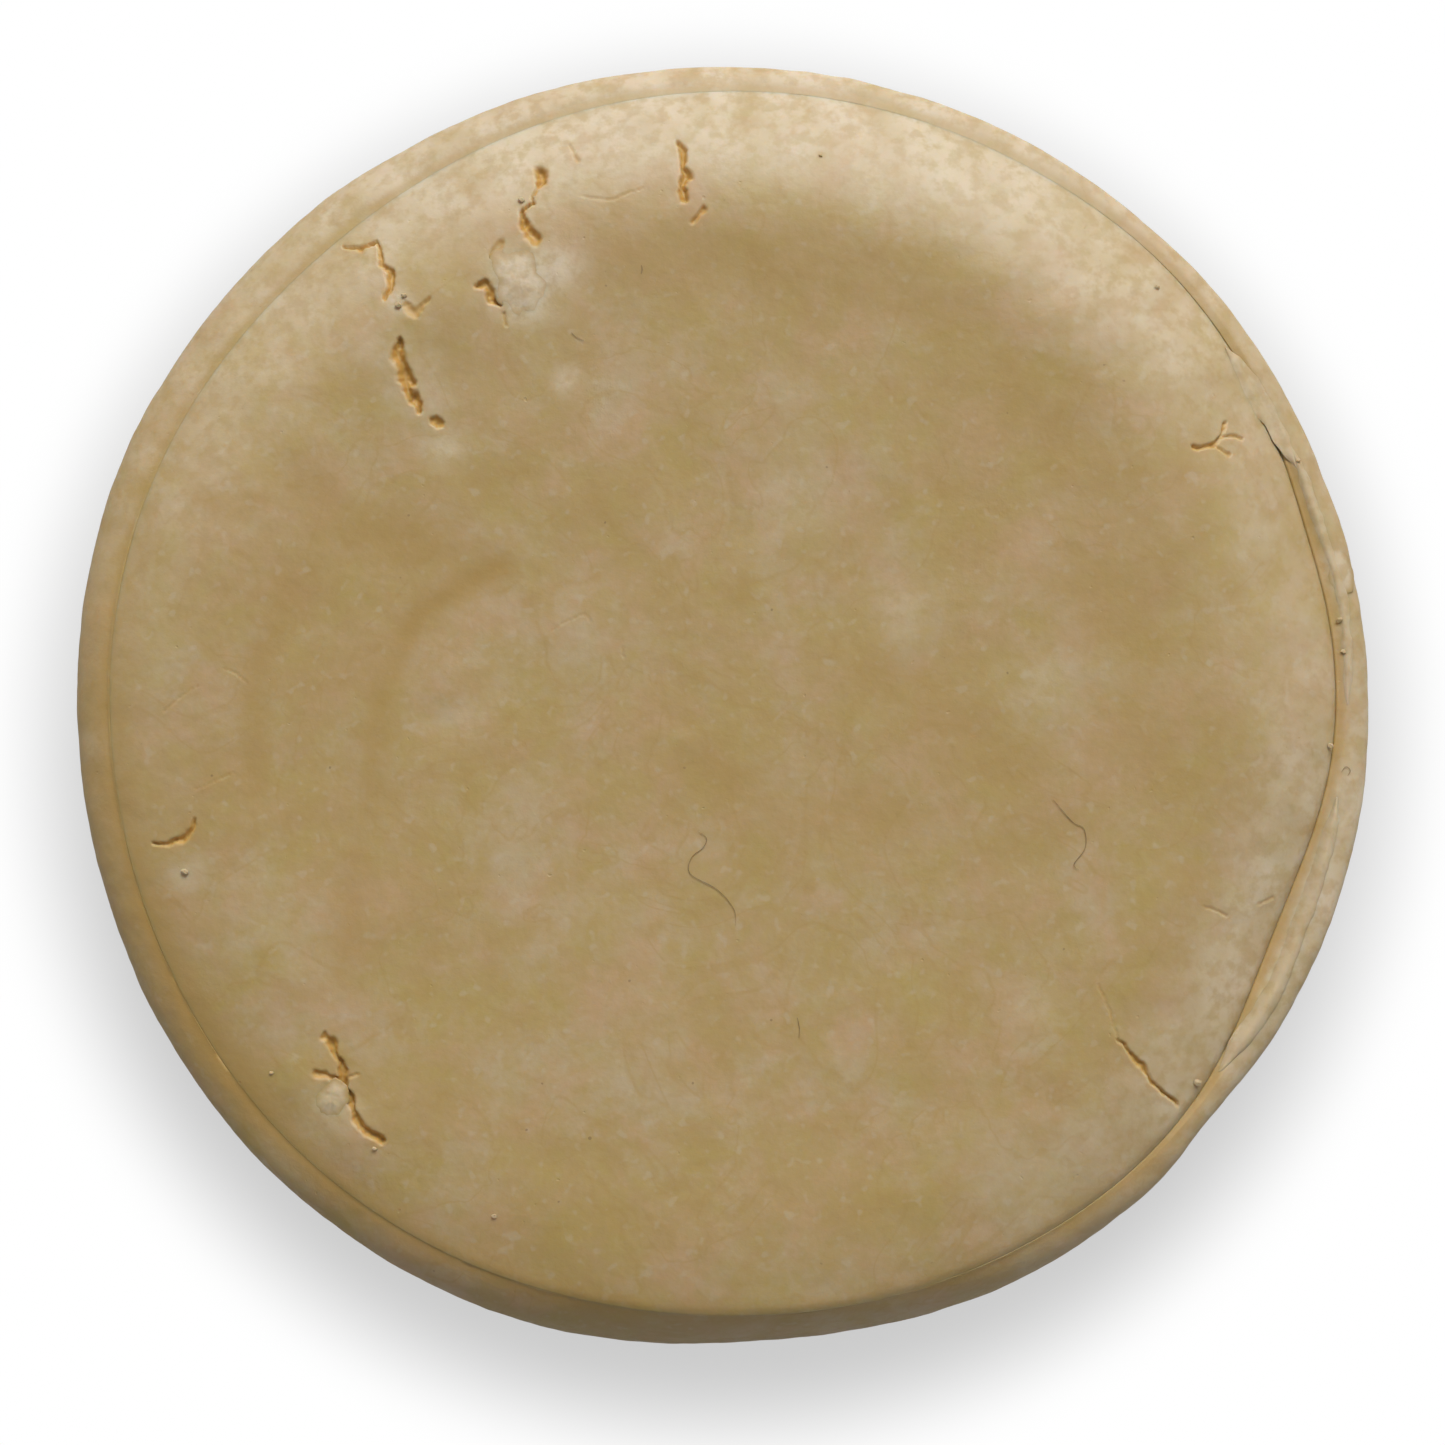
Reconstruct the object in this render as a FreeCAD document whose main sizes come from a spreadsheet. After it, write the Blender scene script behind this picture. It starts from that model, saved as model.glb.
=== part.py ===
import FreeCAD, Part
import os
import Sketcher

# A pressed shaving soap puck: a thick round base layer with a raised rim, a softer top layer
# seated in the rim's recess, and the soap that was squeezed out or has crumbled along the seam.
# Millimetres, +Z up, origin at the middle of the flat underside.

SIZES = {
    # base layer
    "base_radius": 35.0,        # widest radius, at the top of the wall
    "wall_draft": 0.7,          # how much narrower the wall is at the foot
    "foot_round": 1.6,          # round between the underside and the wall
    "rim_height": 20.0,         # underside to the rim's crest
    "rim_width": 2.0,           # recess wall to the outside of the rim
    "rim_round": 0.7,           # round on the outside of the crest
    "flank_run": 0.9,           # width of the rim's inner slope
    "flank_drop": 0.9,          # height of the rim's inner slope
    "seat_height": 18.0,        # underside to the floor of the recess
    # top layer
    "puck_height": 22.0,        # underside to the flat face
    "seam_gap": 0.05,           # clearance between the top layer's edge and the recess wall
    "seam_height": 19.2,        # underside to the widest part of the top layer
    "edge_tuck": 0.3,           # how far the top layer's edge leans in towards its seat
    "shoulder_run": 7.0,        # width of the round shoulder, from the edge in to the flat face
    # squeezed soap along the seam
    "lip_overhang": 0.7,        # how far a lip reaches out from the top layer's edge
    "lip_root": 0.5,            # how far a lip's root lies in over the shoulder
    "lip_ridge": 0.25,          # height of a lip's outer edge over the rim's crest
    "flap_overhang": 0.85,      # the same three sizes for the lifted flap
    "flap_root": 0.9,
    "flap_ridge": 0.55,
    # where the squeezed soap starts, and how far round it goes, in degrees from +X
    "right_lip_start": 0.5,
    "right_lip_sweep": 24.0,
    "flap_start": 25.5,
    "flap_sweep": 8.0,
    "lower_lip_start": -36.0,
    "lower_lip_sweep": 25.0,
}

# Cracks open in the top layer near its shoulder. Each is a tapered, boat-shaped slit:
# heading round the puck, inset from the top layer's edge, slant away from the radial line,
# length, opening and depth.
CRACK_SIZES = ("heading", "inset", "slant", "length", "opening", "depth")
CRACKS = {
    "beaded_crack": (94.4, 4.4, 0.0, 3.2, 0.65, 0.8),
    "upper_crack": (111.0, 4.5, -30.0, 3.8, 0.6, 0.8),
    "star_crack": (119.2, 7.6, -30.0, 1.6, 0.5, 0.6),
    "star_crack_arm": (119.8, 7.3, 30.0, 1.3, 0.4, 0.5),
    "corner_crack": (127.6, 1.9, 52.0, 2.2, 0.5, 0.7),
    "corner_crack_tail": (128.2, 4.4, -18.0, 3.6, 0.6, 0.7),
    "gouge": (133.7, 8.7, -28.0, 4.3, 1.3, 1.1),
    "gouge_pit": (135.2, 11.5, 0.0, 0.9, 0.6, 0.5),
    "branched_crack": (28.5, 3.3, 10.0, 2.3, 0.25, 0.5),
    "branched_crack_arm": (27.4, 2.5, -40.0, 1.2, 0.22, 0.4),
    "lower_right_crack": (-40.6, 4.5, -15.0, 6.0, 0.45, 0.6),
    "lower_left_crack": (225.3, 4.4, 71.0, 5.4, 0.75, 0.9),
    "left_crack": (193.3, 3.0, 15.0, 2.6, 0.4, 0.6),
}

# Lumps of soap stuck to the surface: heading, distance in from the top layer's edge (less than
# nothing on the rim), half length round the puck, half width towards the middle, half height.
LUMP_SIZES = ("heading", "inset", "half_length", "half_width", "half_height")
TOP_CRUMB = {"top_crumb": (116.2, 7.75, 1.3, 1.7, 0.28)}
FLAKE = {"flake": (225.1, 3.55, 0.85, 0.9, 0.4)}
RIM_CRUMB = {"rim_crumb": (12.3, -1.15, 1.35, 0.7, 0.4)}
LOOSE_CRUMBS = {
    "crumb_a": (113.5, 3.9, 0.65, 0.55, 0.5),
    "crumb_b": (132.0, 5.6, 0.6, 0.65, 0.5),
    "crumb_c": (-4.0, 0.8, 0.7, 0.55, 0.55),
    "crumb_d": (44.0, 0.8, 0.6, 0.55, 0.5),
    "crumb_e": (-39.0, 0.9, 0.7, 0.6, 0.55),
    "crumb_f": (197.5, 2.9, 0.6, 0.5, 0.45),
    "crumb_g": (232.8, 4.1, 0.75, 0.55, 0.5),
}

# Shallow dents knocked into the rim's outside: heading, depth, and half width round the puck.
DENT_SIZES = ("heading", "depth", "half_width")
DENTS = {
    "lower_right_dent": (320.0, 0.6, 2.6),
    "upper_right_dent": (52.0, 0.2, 3.2),
    "upper_left_dent": (125.0, 0.25, 3.6),
}

FULL_TURN = 360.0
SHOULDER_STEPS = 5      # cones that the round shoulder is made of, with their corners on its arc
STEP_FOLDER = "parts"


def fill_sheet(doc):
    """Write every driving size to the sheet as a plain number with an alias."""
    sheet = doc.addObject("Spreadsheet::Sheet", "Sizes")
    named = dict(SIZES)
    groups = [(CRACKS, CRACK_SIZES), (DENTS, DENT_SIZES)]
    groups += [(lumps, LUMP_SIZES) for lumps in (TOP_CRUMB, FLAKE, RIM_CRUMB, LOOSE_CRUMBS)]
    for group, size_names in groups:
        for name, values in group.items():
            for size_name, value in zip(size_names, values):
                named[f"{name}_{size_name}"] = value
    for row, (alias, value) in enumerate(named.items(), start=1):
        cell = f"A{row}"
        sheet.set(cell, str(value))
        sheet.setAlias(cell, alias)
    doc.recompute()
    return sheet


def size(name):
    """The expression that reads one named size."""
    return f"Sizes.{name}"


# Expressions that tie the layers together.
RECESS_RADIUS = f"({size('base_radius')} - {size('rim_width')})"
EDGE_RADIUS = f"({RECESS_RADIUS} - {size('seam_gap')})"
FACE_RADIUS = f"({EDGE_RADIUS} - {size('shoulder_run')})"
SHOULDER_DROP = f"({size('puck_height')} - {size('seam_height')})"
SHOULDER_ROUND = f"(({size('shoulder_run')}^2 + {SHOULDER_DROP}^2) / (2 * {SHOULDER_DROP}))"


def shoulder_height(distance):
    """Height of the top layer's surface at a distance from the axis."""
    past_face = f"max({distance} - {FACE_RADIUS}; 0)"
    return (f"({size('puck_height')} - {SHOULDER_ROUND}"
            f" + sqrt({SHOULDER_ROUND}^2 - ({past_face})^2))")


def shoulder_slope(distance):
    """Downward slope of the top layer's surface at a distance from the axis, in degrees."""
    past_face = f"max({distance} - {FACE_RADIUS}; 0)"
    return f"asin(({past_face}) / {SHOULDER_ROUND})"


def value_of(sheet, expression):
    """The plain number that an expression comes to."""
    result = sheet.evalExpression(expression)
    return float(getattr(result, "Value", result))


def origin_feature(body, role):
    """One of a body's own origin planes or axes."""
    return next(item for item in body.Origin.OriginFeatures if item.Role == role)


def tie(sketch, kind, side, expression, number):
    """Hold the start of a sketch's side at an expression, measured from the sketch's origin."""
    row = sketch.addConstraint(Sketcher.Constraint(kind, -1, 1, side, 1, number))
    sketch.setExpression(f"Constraints[{row}]", expression)


def half_section(body, sheet, name, corners):
    """A closed sketch of straight sides in the XZ plane, each corner tied to its expressions."""
    sketch = body.newObject("Sketcher::SketchObject", name)
    sketch.AttachmentSupport = (origin_feature(body, "XZ_Plane"), [""])
    sketch.MapMode = "FlatFace"
    points = [FreeCAD.Vector(value_of(sheet, across), value_of(sheet, up), 0) for across, up in corners]
    count = len(points)
    for index, start in enumerate(points):
        sketch.addGeometry(Part.LineSegment(start, points[(index + 1) % count]))
    for index in range(count):
        sketch.addConstraint(Sketcher.Constraint("Coincident", index, 2, (index + 1) % count, 1))
    for index, (across, up) in enumerate(corners):
        tie(sketch, "DistanceX", index, across, points[index].x)
        tie(sketch, "DistanceY", index, up, points[index].y)
    return sketch


def revolve(body, sketch, name, angle):
    """Turn a half section about the vertical axis."""
    turn = body.newObject("PartDesign::Revolution", name)
    turn.Profile = sketch
    turn.ReferenceAxis = (origin_feature(body, "Z_Axis"), [""])
    turn.setExpression("Angle", angle)
    body.Tip = turn
    return turn


def ring_edge(shape, radius, height):
    """Name of the full circular edge with this radius at this height."""
    for number, edge in enumerate(shape.Edges, start=1):
        curve = edge.Curve
        if not isinstance(curve, Part.Circle):
            continue
        if abs(curve.Radius - radius) < 1e-4 and abs(curve.Center.z - height) < 1e-4:
            return f"Edge{number}"
    raise RuntimeError(f"no round edge of radius {radius} at height {height}")


def round_ring(body, base, sheet, name, radius, height, fillet_size):
    """Fillet one circular edge of a turned feature."""
    fillet = body.newObject("PartDesign::Fillet", name)
    edge = ring_edge(base.Shape, value_of(sheet, radius), value_of(sheet, height))
    fillet.Base = (base, [edge])
    fillet.setExpression("Radius", fillet_size)
    body.Tip = fillet
    return fillet


def add_dent(body, name):
    """Scoop a shallow dent out of the rim's outside with a flattened ball."""
    scoop = body.newObject("PartDesign::SubtractiveEllipsoid", name)
    wide = size(f"{name}_half_width")
    heading = size(f"{name}_heading")
    reach = f"({size('base_radius')} + {wide} - {size(f'{name}_depth')})"
    scoop.setExpression("Radius1", wide)
    scoop.setExpression("Radius2", wide)
    scoop.setExpression("Radius3", wide)
    place = (f"placement(vector({reach} * cos({heading} * 1deg); {reach} * sin({heading} * 1deg);"
             f" {size('rim_height')}); rotationz({heading}))")
    scoop.setExpression("Placement", place)
    body.Tip = scoop


def make_base_layer(doc, sheet):
    """The thick lower cake: drafted wall, rounded foot, raised rim and a flat-floored recess."""
    body = doc.addObject("PartDesign::Body", "base_layer")
    foot_radius = f"({size('base_radius')} - {size('wall_draft')})"
    flank_top = f"({RECESS_RADIUS} + {size('flank_run')})"
    flank_foot = f"({size('rim_height')} - {size('flank_drop')})"
    corners = [
        ("0", "0"),
        (foot_radius, "0"),
        (size("base_radius"), size("rim_height")),
        (flank_top, size("rim_height")),
        (RECESS_RADIUS, flank_foot),
        (RECESS_RADIUS, size("seat_height")),
        ("0", size("seat_height")),
    ]
    sketch = half_section(body, sheet, "base_section", corners)
    turned = revolve(body, sketch, "base_turned", str(FULL_TURN))
    doc.recompute()
    foot = round_ring(body, turned, sheet, "foot_fillet", foot_radius, "0", size("foot_round"))
    doc.recompute()
    round_ring(body, foot, sheet, "rim_fillet", size("base_radius"), size("rim_height"), size("rim_round"))
    doc.recompute()
    for name in DENTS:
        add_dent(body, name)
    doc.recompute()
    return body


def add_crack(body, name):
    """Open one boat-shaped slit that follows the slope of the shoulder."""
    slit = body.newObject("PartDesign::SubtractiveWedge", name)
    distance = f"({EDGE_RADIUS} - {size(f'{name}_inset')})"
    heading = size(f"{name}_heading")
    slant = size(f"{name}_slant")
    half_opening = f"{size(f'{name}_opening')} / 2"
    half_length = f"{size(f'{name}_length')} / 2"
    depth = size(f"{name}_depth")
    # The wedge starts one depth above the surface, so it is nearly twice as wide there, and it
    # ends in a narrow flat floor.
    slit.setExpression("Xmin", f"-1.8 * {half_opening}")
    slit.setExpression("Xmax", f"1.8 * {half_opening}")
    slit.setExpression("X2min", f"-0.2 * {half_opening}")
    slit.setExpression("X2max", f"0.2 * {half_opening}")
    slit.setExpression("Ymin", f"-{depth}")
    slit.setExpression("Ymax", depth)
    slit.setExpression("Zmin", f"-1.2 * {half_length}")
    slit.setExpression("Zmax", f"1.2 * {half_length}")
    slit.setExpression("Z2min", f"-0.8 * {half_length}")
    slit.setExpression("Z2max", f"0.8 * {half_length}")
    tilt = f"atan(tan({shoulder_slope(distance)}) * cos({slant} * 1deg))"
    place = (f"placement(vector({distance} * cos({heading} * 1deg); {distance} * sin({heading} * 1deg);"
             f" {shoulder_height(distance)});"
             f" rotationz({heading} + {slant}) * rotationy({tilt}) * rotationz(-90) * rotationx(-90))")
    slit.setExpression("Placement", place)
    body.Tip = slit


def make_top_layer(doc, sheet):
    """The softer upper cake: flat face, round shoulder, edge tucked into the recess, cracks."""
    body = doc.addObject("PartDesign::Body", "top_layer")
    seat_radius = f"({EDGE_RADIUS} - {size('edge_tuck')})"
    corners = [("0", size("seat_height")), (seat_radius, size("seat_height"))]
    for step in range(SHOULDER_STEPS + 1):
        distance = f"({EDGE_RADIUS} - {size('shoulder_run')} * {step} / {SHOULDER_STEPS})"
        corners.append((distance, shoulder_height(distance)))
    corners.append(("0", size("puck_height")))
    sketch = half_section(body, sheet, "top_section", corners)
    revolve(body, sketch, "top_turned", str(FULL_TURN))
    doc.recompute()
    for name in CRACKS:
        add_crack(body, name)
    doc.recompute()
    return body


def lay_on(doc, name, blank, bed):
    """Trim a blank to what stands clear of its bed, so that it lies on it face to face."""
    trimmed = doc.addObject("Part::Cut", name)
    trimmed.Base = blank
    trimmed.Tool = bed
    doc.recompute()
    return trimmed


def make_bed(doc, name, pieces):
    """Several pieces taken together as the surface that something lies on."""
    bed = doc.addObject("Part::Compound", name)
    bed.Links = pieces
    doc.recompute()
    return bed


def make_lip(doc, sheet, name, style, place, bed):
    """Soap squeezed out over the seam: part of a ring that fills the groove and laps the rim."""
    body = doc.addObject("PartDesign::Body", f"{name}_blank")
    root = f"({EDGE_RADIUS} - {size(f'{style}_root')})"
    reach = f"({EDGE_RADIUS} + {size(f'{style}_overhang')})"
    ridge = f"({size('rim_height')} + {size(f'{style}_ridge')})"
    corners = [
        (root, size("seam_height")),
        (reach, size("seam_height")),
        (reach, ridge),
        (EDGE_RADIUS, ridge),
        (root, shoulder_height(root)),
    ]
    sketch = half_section(body, sheet, f"{name}_section", corners)
    revolve(body, sketch, f"{name}_turned", size(f"{place}_sweep"))
    body.setExpression("Placement", f"placement(vector(0; 0; 0); rotationz({size(f'{place}_start')}))")
    doc.recompute()
    return lay_on(doc, name, body, bed)


def make_lump(doc, name, height, slope, bed):
    """A rounded lump of soap pressed onto the surface at a height and slope."""
    blank = doc.addObject("Part::Ellipsoid", f"{name}_blank")
    blank.setExpression("Radius1", size(f"{name}_half_height"))
    blank.setExpression("Radius2", size(f"{name}_half_width"))
    blank.setExpression("Radius3", size(f"{name}_half_length"))
    distance = f"({EDGE_RADIUS} - {size(f'{name}_inset')})"
    heading = size(f"{name}_heading")
    place = (f"placement(vector({distance} * cos({heading} * 1deg); {distance} * sin({heading} * 1deg);"
             f" {height(distance)}); rotationz({heading}) * rotationy({slope(distance)}))")
    blank.setExpression("Placement", place)
    return lay_on(doc, f"{name}_lump", blank, bed)


def rim_crest(distance):
    """Height of the rim's crest, which is level."""
    return size("rim_height")


def level(distance):
    """Slope of a level surface."""
    return "0"


def make_lumps(doc, name, lumps, height, slope, bed):
    """A group of separate lumps that lie on one surface, as one sub-part."""
    group = doc.addObject("Part::Compound", name)
    group.Links = [make_lump(doc, lump, height, slope, bed) for lump in lumps]
    doc.recompute()
    return group


def make_puck(doc, sheet):
    """Build every sub-part, from the base up."""
    base = make_base_layer(doc, sheet)
    top = make_top_layer(doc, sheet)
    layers = make_bed(doc, "layers", [base, top])
    right_lip = make_lip(doc, sheet, "squeezed_lip_right", "lip", "right_lip", layers)
    lower_lip = make_lip(doc, sheet, "squeezed_lip_lower_right", "lip", "lower_lip", layers)
    flap = make_lip(doc, sheet, "lifted_flap_right", "flap", "flap", layers)
    lipped = make_bed(doc, "lipped_layers", [base, top, right_lip, lower_lip, flap])
    on_top = (shoulder_height, shoulder_slope)
    top_crumb = make_lumps(doc, "pressed_crumb_top", TOP_CRUMB, *on_top, lipped)
    flake = make_lumps(doc, "raised_flake_lower_left", FLAKE, *on_top, lipped)
    rim_crumb = make_lumps(doc, "pressed_crumb_rim", RIM_CRUMB, rim_crest, level, lipped)
    crumbs = make_lumps(doc, "loose_crumbs", LOOSE_CRUMBS, *on_top, lipped)
    return [base, top, right_lip, lower_lip, flap, top_crumb, flake, rim_crumb, crumbs]


def check(doc, sub_parts):
    """Stop if any feature failed or any sub-part has no sound shape."""
    for item in doc.Objects:
        if "Invalid" in item.State or "Error" in item.State:
            raise RuntimeError(f"{item.Label} failed: {item.State}")
    for sub_part in sub_parts:
        shape = sub_part.Shape
        if shape.isNull() or not shape.isValid() or not shape.Solids:
            raise RuntimeError(f"{sub_part.Label} has no sound solid")


def main():
    doc = FreeCAD.newDocument("shaving_soap_puck")
    sheet = fill_sheet(doc)
    sub_parts = make_puck(doc, sheet)
    doc.recompute()
    check(doc, sub_parts)
    os.makedirs(STEP_FOLDER, exist_ok=True)
    for sub_part in sub_parts:
        shape = sub_part.Shape
        shape.exportStep(f"{STEP_FOLDER}/{sub_part.Label}.step")
        print(f"{sub_part.Label}: {len(shape.Solids)} solid(s), {shape.Volume:.2f} mm3")


main()
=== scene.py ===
import math

import bpy
import numpy as np
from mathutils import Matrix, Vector, noise
from mathutils.geometry import delaunay_2d_cdt


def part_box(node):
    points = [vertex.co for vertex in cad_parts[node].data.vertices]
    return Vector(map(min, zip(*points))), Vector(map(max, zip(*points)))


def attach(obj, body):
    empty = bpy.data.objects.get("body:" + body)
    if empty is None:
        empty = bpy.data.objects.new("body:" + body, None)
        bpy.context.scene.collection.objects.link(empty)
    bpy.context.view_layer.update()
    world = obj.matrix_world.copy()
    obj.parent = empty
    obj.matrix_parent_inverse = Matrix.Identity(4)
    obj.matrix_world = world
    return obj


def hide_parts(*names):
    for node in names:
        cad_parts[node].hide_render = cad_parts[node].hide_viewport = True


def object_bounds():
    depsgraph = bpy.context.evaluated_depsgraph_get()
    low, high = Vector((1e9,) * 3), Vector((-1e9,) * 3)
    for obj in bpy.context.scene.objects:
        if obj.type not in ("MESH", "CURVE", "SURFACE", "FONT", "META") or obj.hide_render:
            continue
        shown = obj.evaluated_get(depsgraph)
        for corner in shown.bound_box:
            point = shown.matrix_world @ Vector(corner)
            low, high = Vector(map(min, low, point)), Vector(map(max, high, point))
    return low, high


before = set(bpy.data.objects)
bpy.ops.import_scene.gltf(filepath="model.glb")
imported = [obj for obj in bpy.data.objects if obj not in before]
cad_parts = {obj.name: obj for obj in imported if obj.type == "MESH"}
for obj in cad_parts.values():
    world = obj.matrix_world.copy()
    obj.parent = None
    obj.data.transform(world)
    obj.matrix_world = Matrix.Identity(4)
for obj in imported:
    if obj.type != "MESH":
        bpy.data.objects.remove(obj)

bl_info = {
    "name": "Shaving Soap Puck",
    "version": (1, 0, 0),
    "blender": (4, 5, 0),
    "location": "3D View > Sidebar > Soap Puck",
    "description": "Builds a pressed, cracked and crumbling puck of shaving soap around its frame",
    "category": "Add Mesh",
}

MM = 0.001
WHITE = (1.0, 1.0, 1.0, 1.0)
BODY = "root"
CAD_LOW, CAD_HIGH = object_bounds()
BASE_LOW, BASE_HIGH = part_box("base_layer")
TOP_LOW, TOP_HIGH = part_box("top_layer")

# ---------------------------------------------------------------------------------------------
# Shape of the puck, in millimetres and degrees round the puck from +X
# ---------------------------------------------------------------------------------------------

# Swells change a size round the puck: heading, half width and height of a bell-shaped rise.
# The outlines of the two layers lie this far inside the puck's radius before their swells.
OUTLINE_INSET, EDGE_INSET = 0.12, 1.65
OUTLINE_SWELLS = (
    (150, 30, 0.3), (260, 34, 0.2), (85, 35, -0.22), (275, 13, -0.25), (320, 6.5, -0.5),
    (331, 12, -0.12), (120, 6, -0.12), (52, 7, -0.1))
EDGE_SWELLS = (
    (338, 15, -1.3), (10, 16, -0.3), (130, 28, -0.85), (198, 34, -0.6), (45, 12, 0.25), (90, 16, -0.1),
    (266, 32, -0.75), (18, 8, -0.3), (28, 4, -0.12))
GROOVE_SWELLS = ((20, 30, 0.1), (335, 16, 0.34), (80, 50, 0.07))

# How open the seam between the layers is: shut at the left, a gap with a thin dark line at the right.
OPEN_SWELLS = ((345, 36, 0.9), (22, 18, 0.6))

# Cracks: half width, depth as a share of CRACK_DEPTH, how jagged the sides are, and the points that
# each runs through. The third number of a point widens or narrows the crack there.
CRACKS = {
    "beaded": (0.3, 1.1, 0.35, (
        (-2.33, 30.07, 0.7), (-2.09, 29.3, 1.15), (-2.16, 28.75, 0.6), (-2.0, 28.25, 1.2),
        (-2.25, 27.59, 0.75), (-2.12, 27.05, 1.15))),
    "bead_tail": (0.16, 0.6, 0.4, (
        (-0.98, 26.42, 1.3), (-1.3, 26.15, 0.8), (-1.6, 25.8, 1.3))),
    "upper": (0.27, 1.1, 0.45, (
        (-9.79, 28.55, 1.5), (-9.75, 28.0, 1.25), (-10.1, 27.7, 0.35), (-10.22, 26.76, 0.45),
        (-10.85, 26.3, 0.6), (-10.55, 25.6, 1.5), (-10.05, 24.85, 1.5))),
    "dimple": (0.3, 0.35, 0.2, (
        (-11.87, 24.6, 1.0), (-12.3, 24.0, 1.0))),
    "star": (0.24, 1.0, 0.45, (
        (-13.2, 22.32, 0.6), (-12.6, 22.45, 1.2), (-12.4, 22.0, 1.1), (-12.35, 21.6, 1.1),
        (-11.95, 21.45, 0.7))),
    "star_tail": (0.09, 0.4, 0.3, (
        (-11.7, 20.9, 1.2), (-11.57, 20.2, 0.9))),
    "corner": (0.2, 0.8, 0.45, (
        (-20.43, 24.63, 0.6), (-19.43, 24.53, 0.9), (-18.6, 24.9, 0.5), (-18.4, 24.26, 0.9),
        (-18.27, 23.55, 1.0), (-17.8, 23.2, 1.3), (-17.75, 22.5, 1.4), (-18.0, 21.75, 1.0))),
    "corner_pit": (0.36, 0.45, 0.35, (
        (-16.95, 21.3, 0.6), (-16.45, 20.95, 1.2), (-15.7, 21.6, 0.5))),
    "gouge": (0.5, 1.25, 0.3, (
        (-17.3, 19.5, 0.35), (-17.3, 18.5, 1.15), (-16.95, 17.6, 0.95), (-16.7, 16.9, 0.75),
        (-16.45, 16.2, 0.6), (-16.15, 15.7, 0.4))),
    "gouge_pit": (0.32, 0.9, 0.35, (
        (-15.4, 15.3, 0.9), (-15.15, 15.0, 0.9))),
    "branched": (0.15, 0.75, 0.5, (
        (25.12, 13.73, 1.5), (25.58, 13.73, 0.8), (26.26, 13.96, 1.1), (26.64, 14.49, 0.8),
        (26.85, 15.1, 0.7))),
    "branch_right": (0.12, 0.5, 0.4, (
        (26.4, 14.25, 0.9), (27.1, 14.45, 0.8), (27.8, 14.3, 1.1))),
    "branch_low": (0.13, 0.45, 0.4, (
        (26.3, 13.9, 0.7), (26.75, 13.55, 0.9), (27.0, 13.45, 1.4))),
    "lower_right_line": (0.06, 0.18, 0.6, (
        (19.96, -14.88, 0.8), (20.6, -16.3, 1.0), (21.0, -17.82, 1.0))),
    "lower_right": (0.19, 0.75, 0.5, (
        (21.0, -17.82, 0.4), (21.6, -18.5, 0.8), (22.3, -19.25, 1.15), (22.85, -20.0, 0.8),
        (23.6, -20.8, 0.5), (24.3, -21.35, 1.0))),
    "lower_left_head": (0.34, 0.9, 0.4, (
        (-21.2, -17.6, 0.9), (-20.85, -18.05, 1.0))),
    "lower_left": (0.3, 1.2, 0.45, (
        (-20.85, -18.1, 0.9), (-20.4, -18.9, 0.6), (-20.2, -19.6, 1.1), (-20.25, -20.2, 1.3),
        (-19.95, -20.8, 0.7), (-19.85, -21.4, 0.5), (-19.5, -22.0, 0.8), (-19.1, -22.6, 0.9),
        (-18.3, -23.15, 1.2))),
    "lower_left_arm": (0.22, 0.7, 0.4, (
        (-21.7, -19.6, 1.4), (-21.0, -19.75, 0.9), (-20.3, -19.9, 1.0))),
    "lower_left_spur": (0.13, 0.4, 0.4, (
        (-20.2, -19.85, 1.0), (-19.4, -19.65, 0.7))),
    "left": (0.2, 0.75, 0.45, (
        (-30.4, -7.4, 0.5), (-29.6, -7.3, 0.8), (-28.84, -7.2, 1.3), (-28.15, -6.2, 0.7))),
    "left_crease": (0.07, 0.14, 0.5, (
        (-28.0, 1.05, 0.8), (-29.0, 0.4, 1.0), (-29.8, -0.33, 1.2))),
    "left_fold": (0.06, 0.12, 0.5, (
        (-28.2, -4.5, 0.8), (-27.2, -4.1, 1.0), (-26.1, -3.6, 0.8))),
    "left_notch": (0.06, 0.15, 0.4, (
        (-26.6, 1.95, 0.7), (-26.0, 1.75, 1.1), (-25.4, 1.2, 0.8))),
    "right_crease": (0.07, 0.25, 0.5, (
        (25.61, -10.73, 0.8), (26.3, -10.95, 1.1), (26.91, -11.25, 1.0))),
    "right_dash": (0.08, 0.22, 0.5, (
        (28.65, -10.65, 0.9), (29.1, -10.5, 1.0), (29.51, -10.3, 1.2))),
    "top_crease": (0.07, 0.16, 0.5, (
        (-7.64, 27.17, 0.8), (-5.99, 26.92, 1.2), (-4.32, 27.59, 0.6))),
    "top_nick": (0.09, 0.3, 0.4, (
        (-8.3, 30.07, 0.7), (-8.0, 29.5, 1.0), (-7.8, 29.16, 2.2))),
    "centre_fold": (0.06, 0.1, 0.6, (
        (-9.1, 4.0, 0.8), (-8.3, 4.5, 1.0), (-7.4, 4.85, 1.2), (-7.0, 4.4, 0.8))),
    "centre_nick": (0.05, 0.12, 0.5, (
        (-5.4, 3.1, 1.0), (-5.3, 2.5, 1.0))),
}

# Soft hollows and swellings of the face: x, y, radius and height.
HOLLOWS = (
    (-15.04, -0.67, 1.3, -0.12), (-13.3, 6.7, 1.6, -0.05), (-1.95, -1.8, 0.7, 0.06),
    (9.0, -14.0, 5.0, -0.06), (-24.0, 9.0, 5.0, 0.05), (14.0, 14.0, 6.0, -0.08),
    (26.0, 19.0, 3.0, 0.15), (-7.0, -20.0, 6.0, 0.06), (20.0, -4.0, 5.0, 0.06), (-14.5, 21.2, 2.4, 0.1),
    (-19.8, -23.2, 1.8, 0.15), (-22.5, -20.2, 1.4, 0.1))

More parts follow.
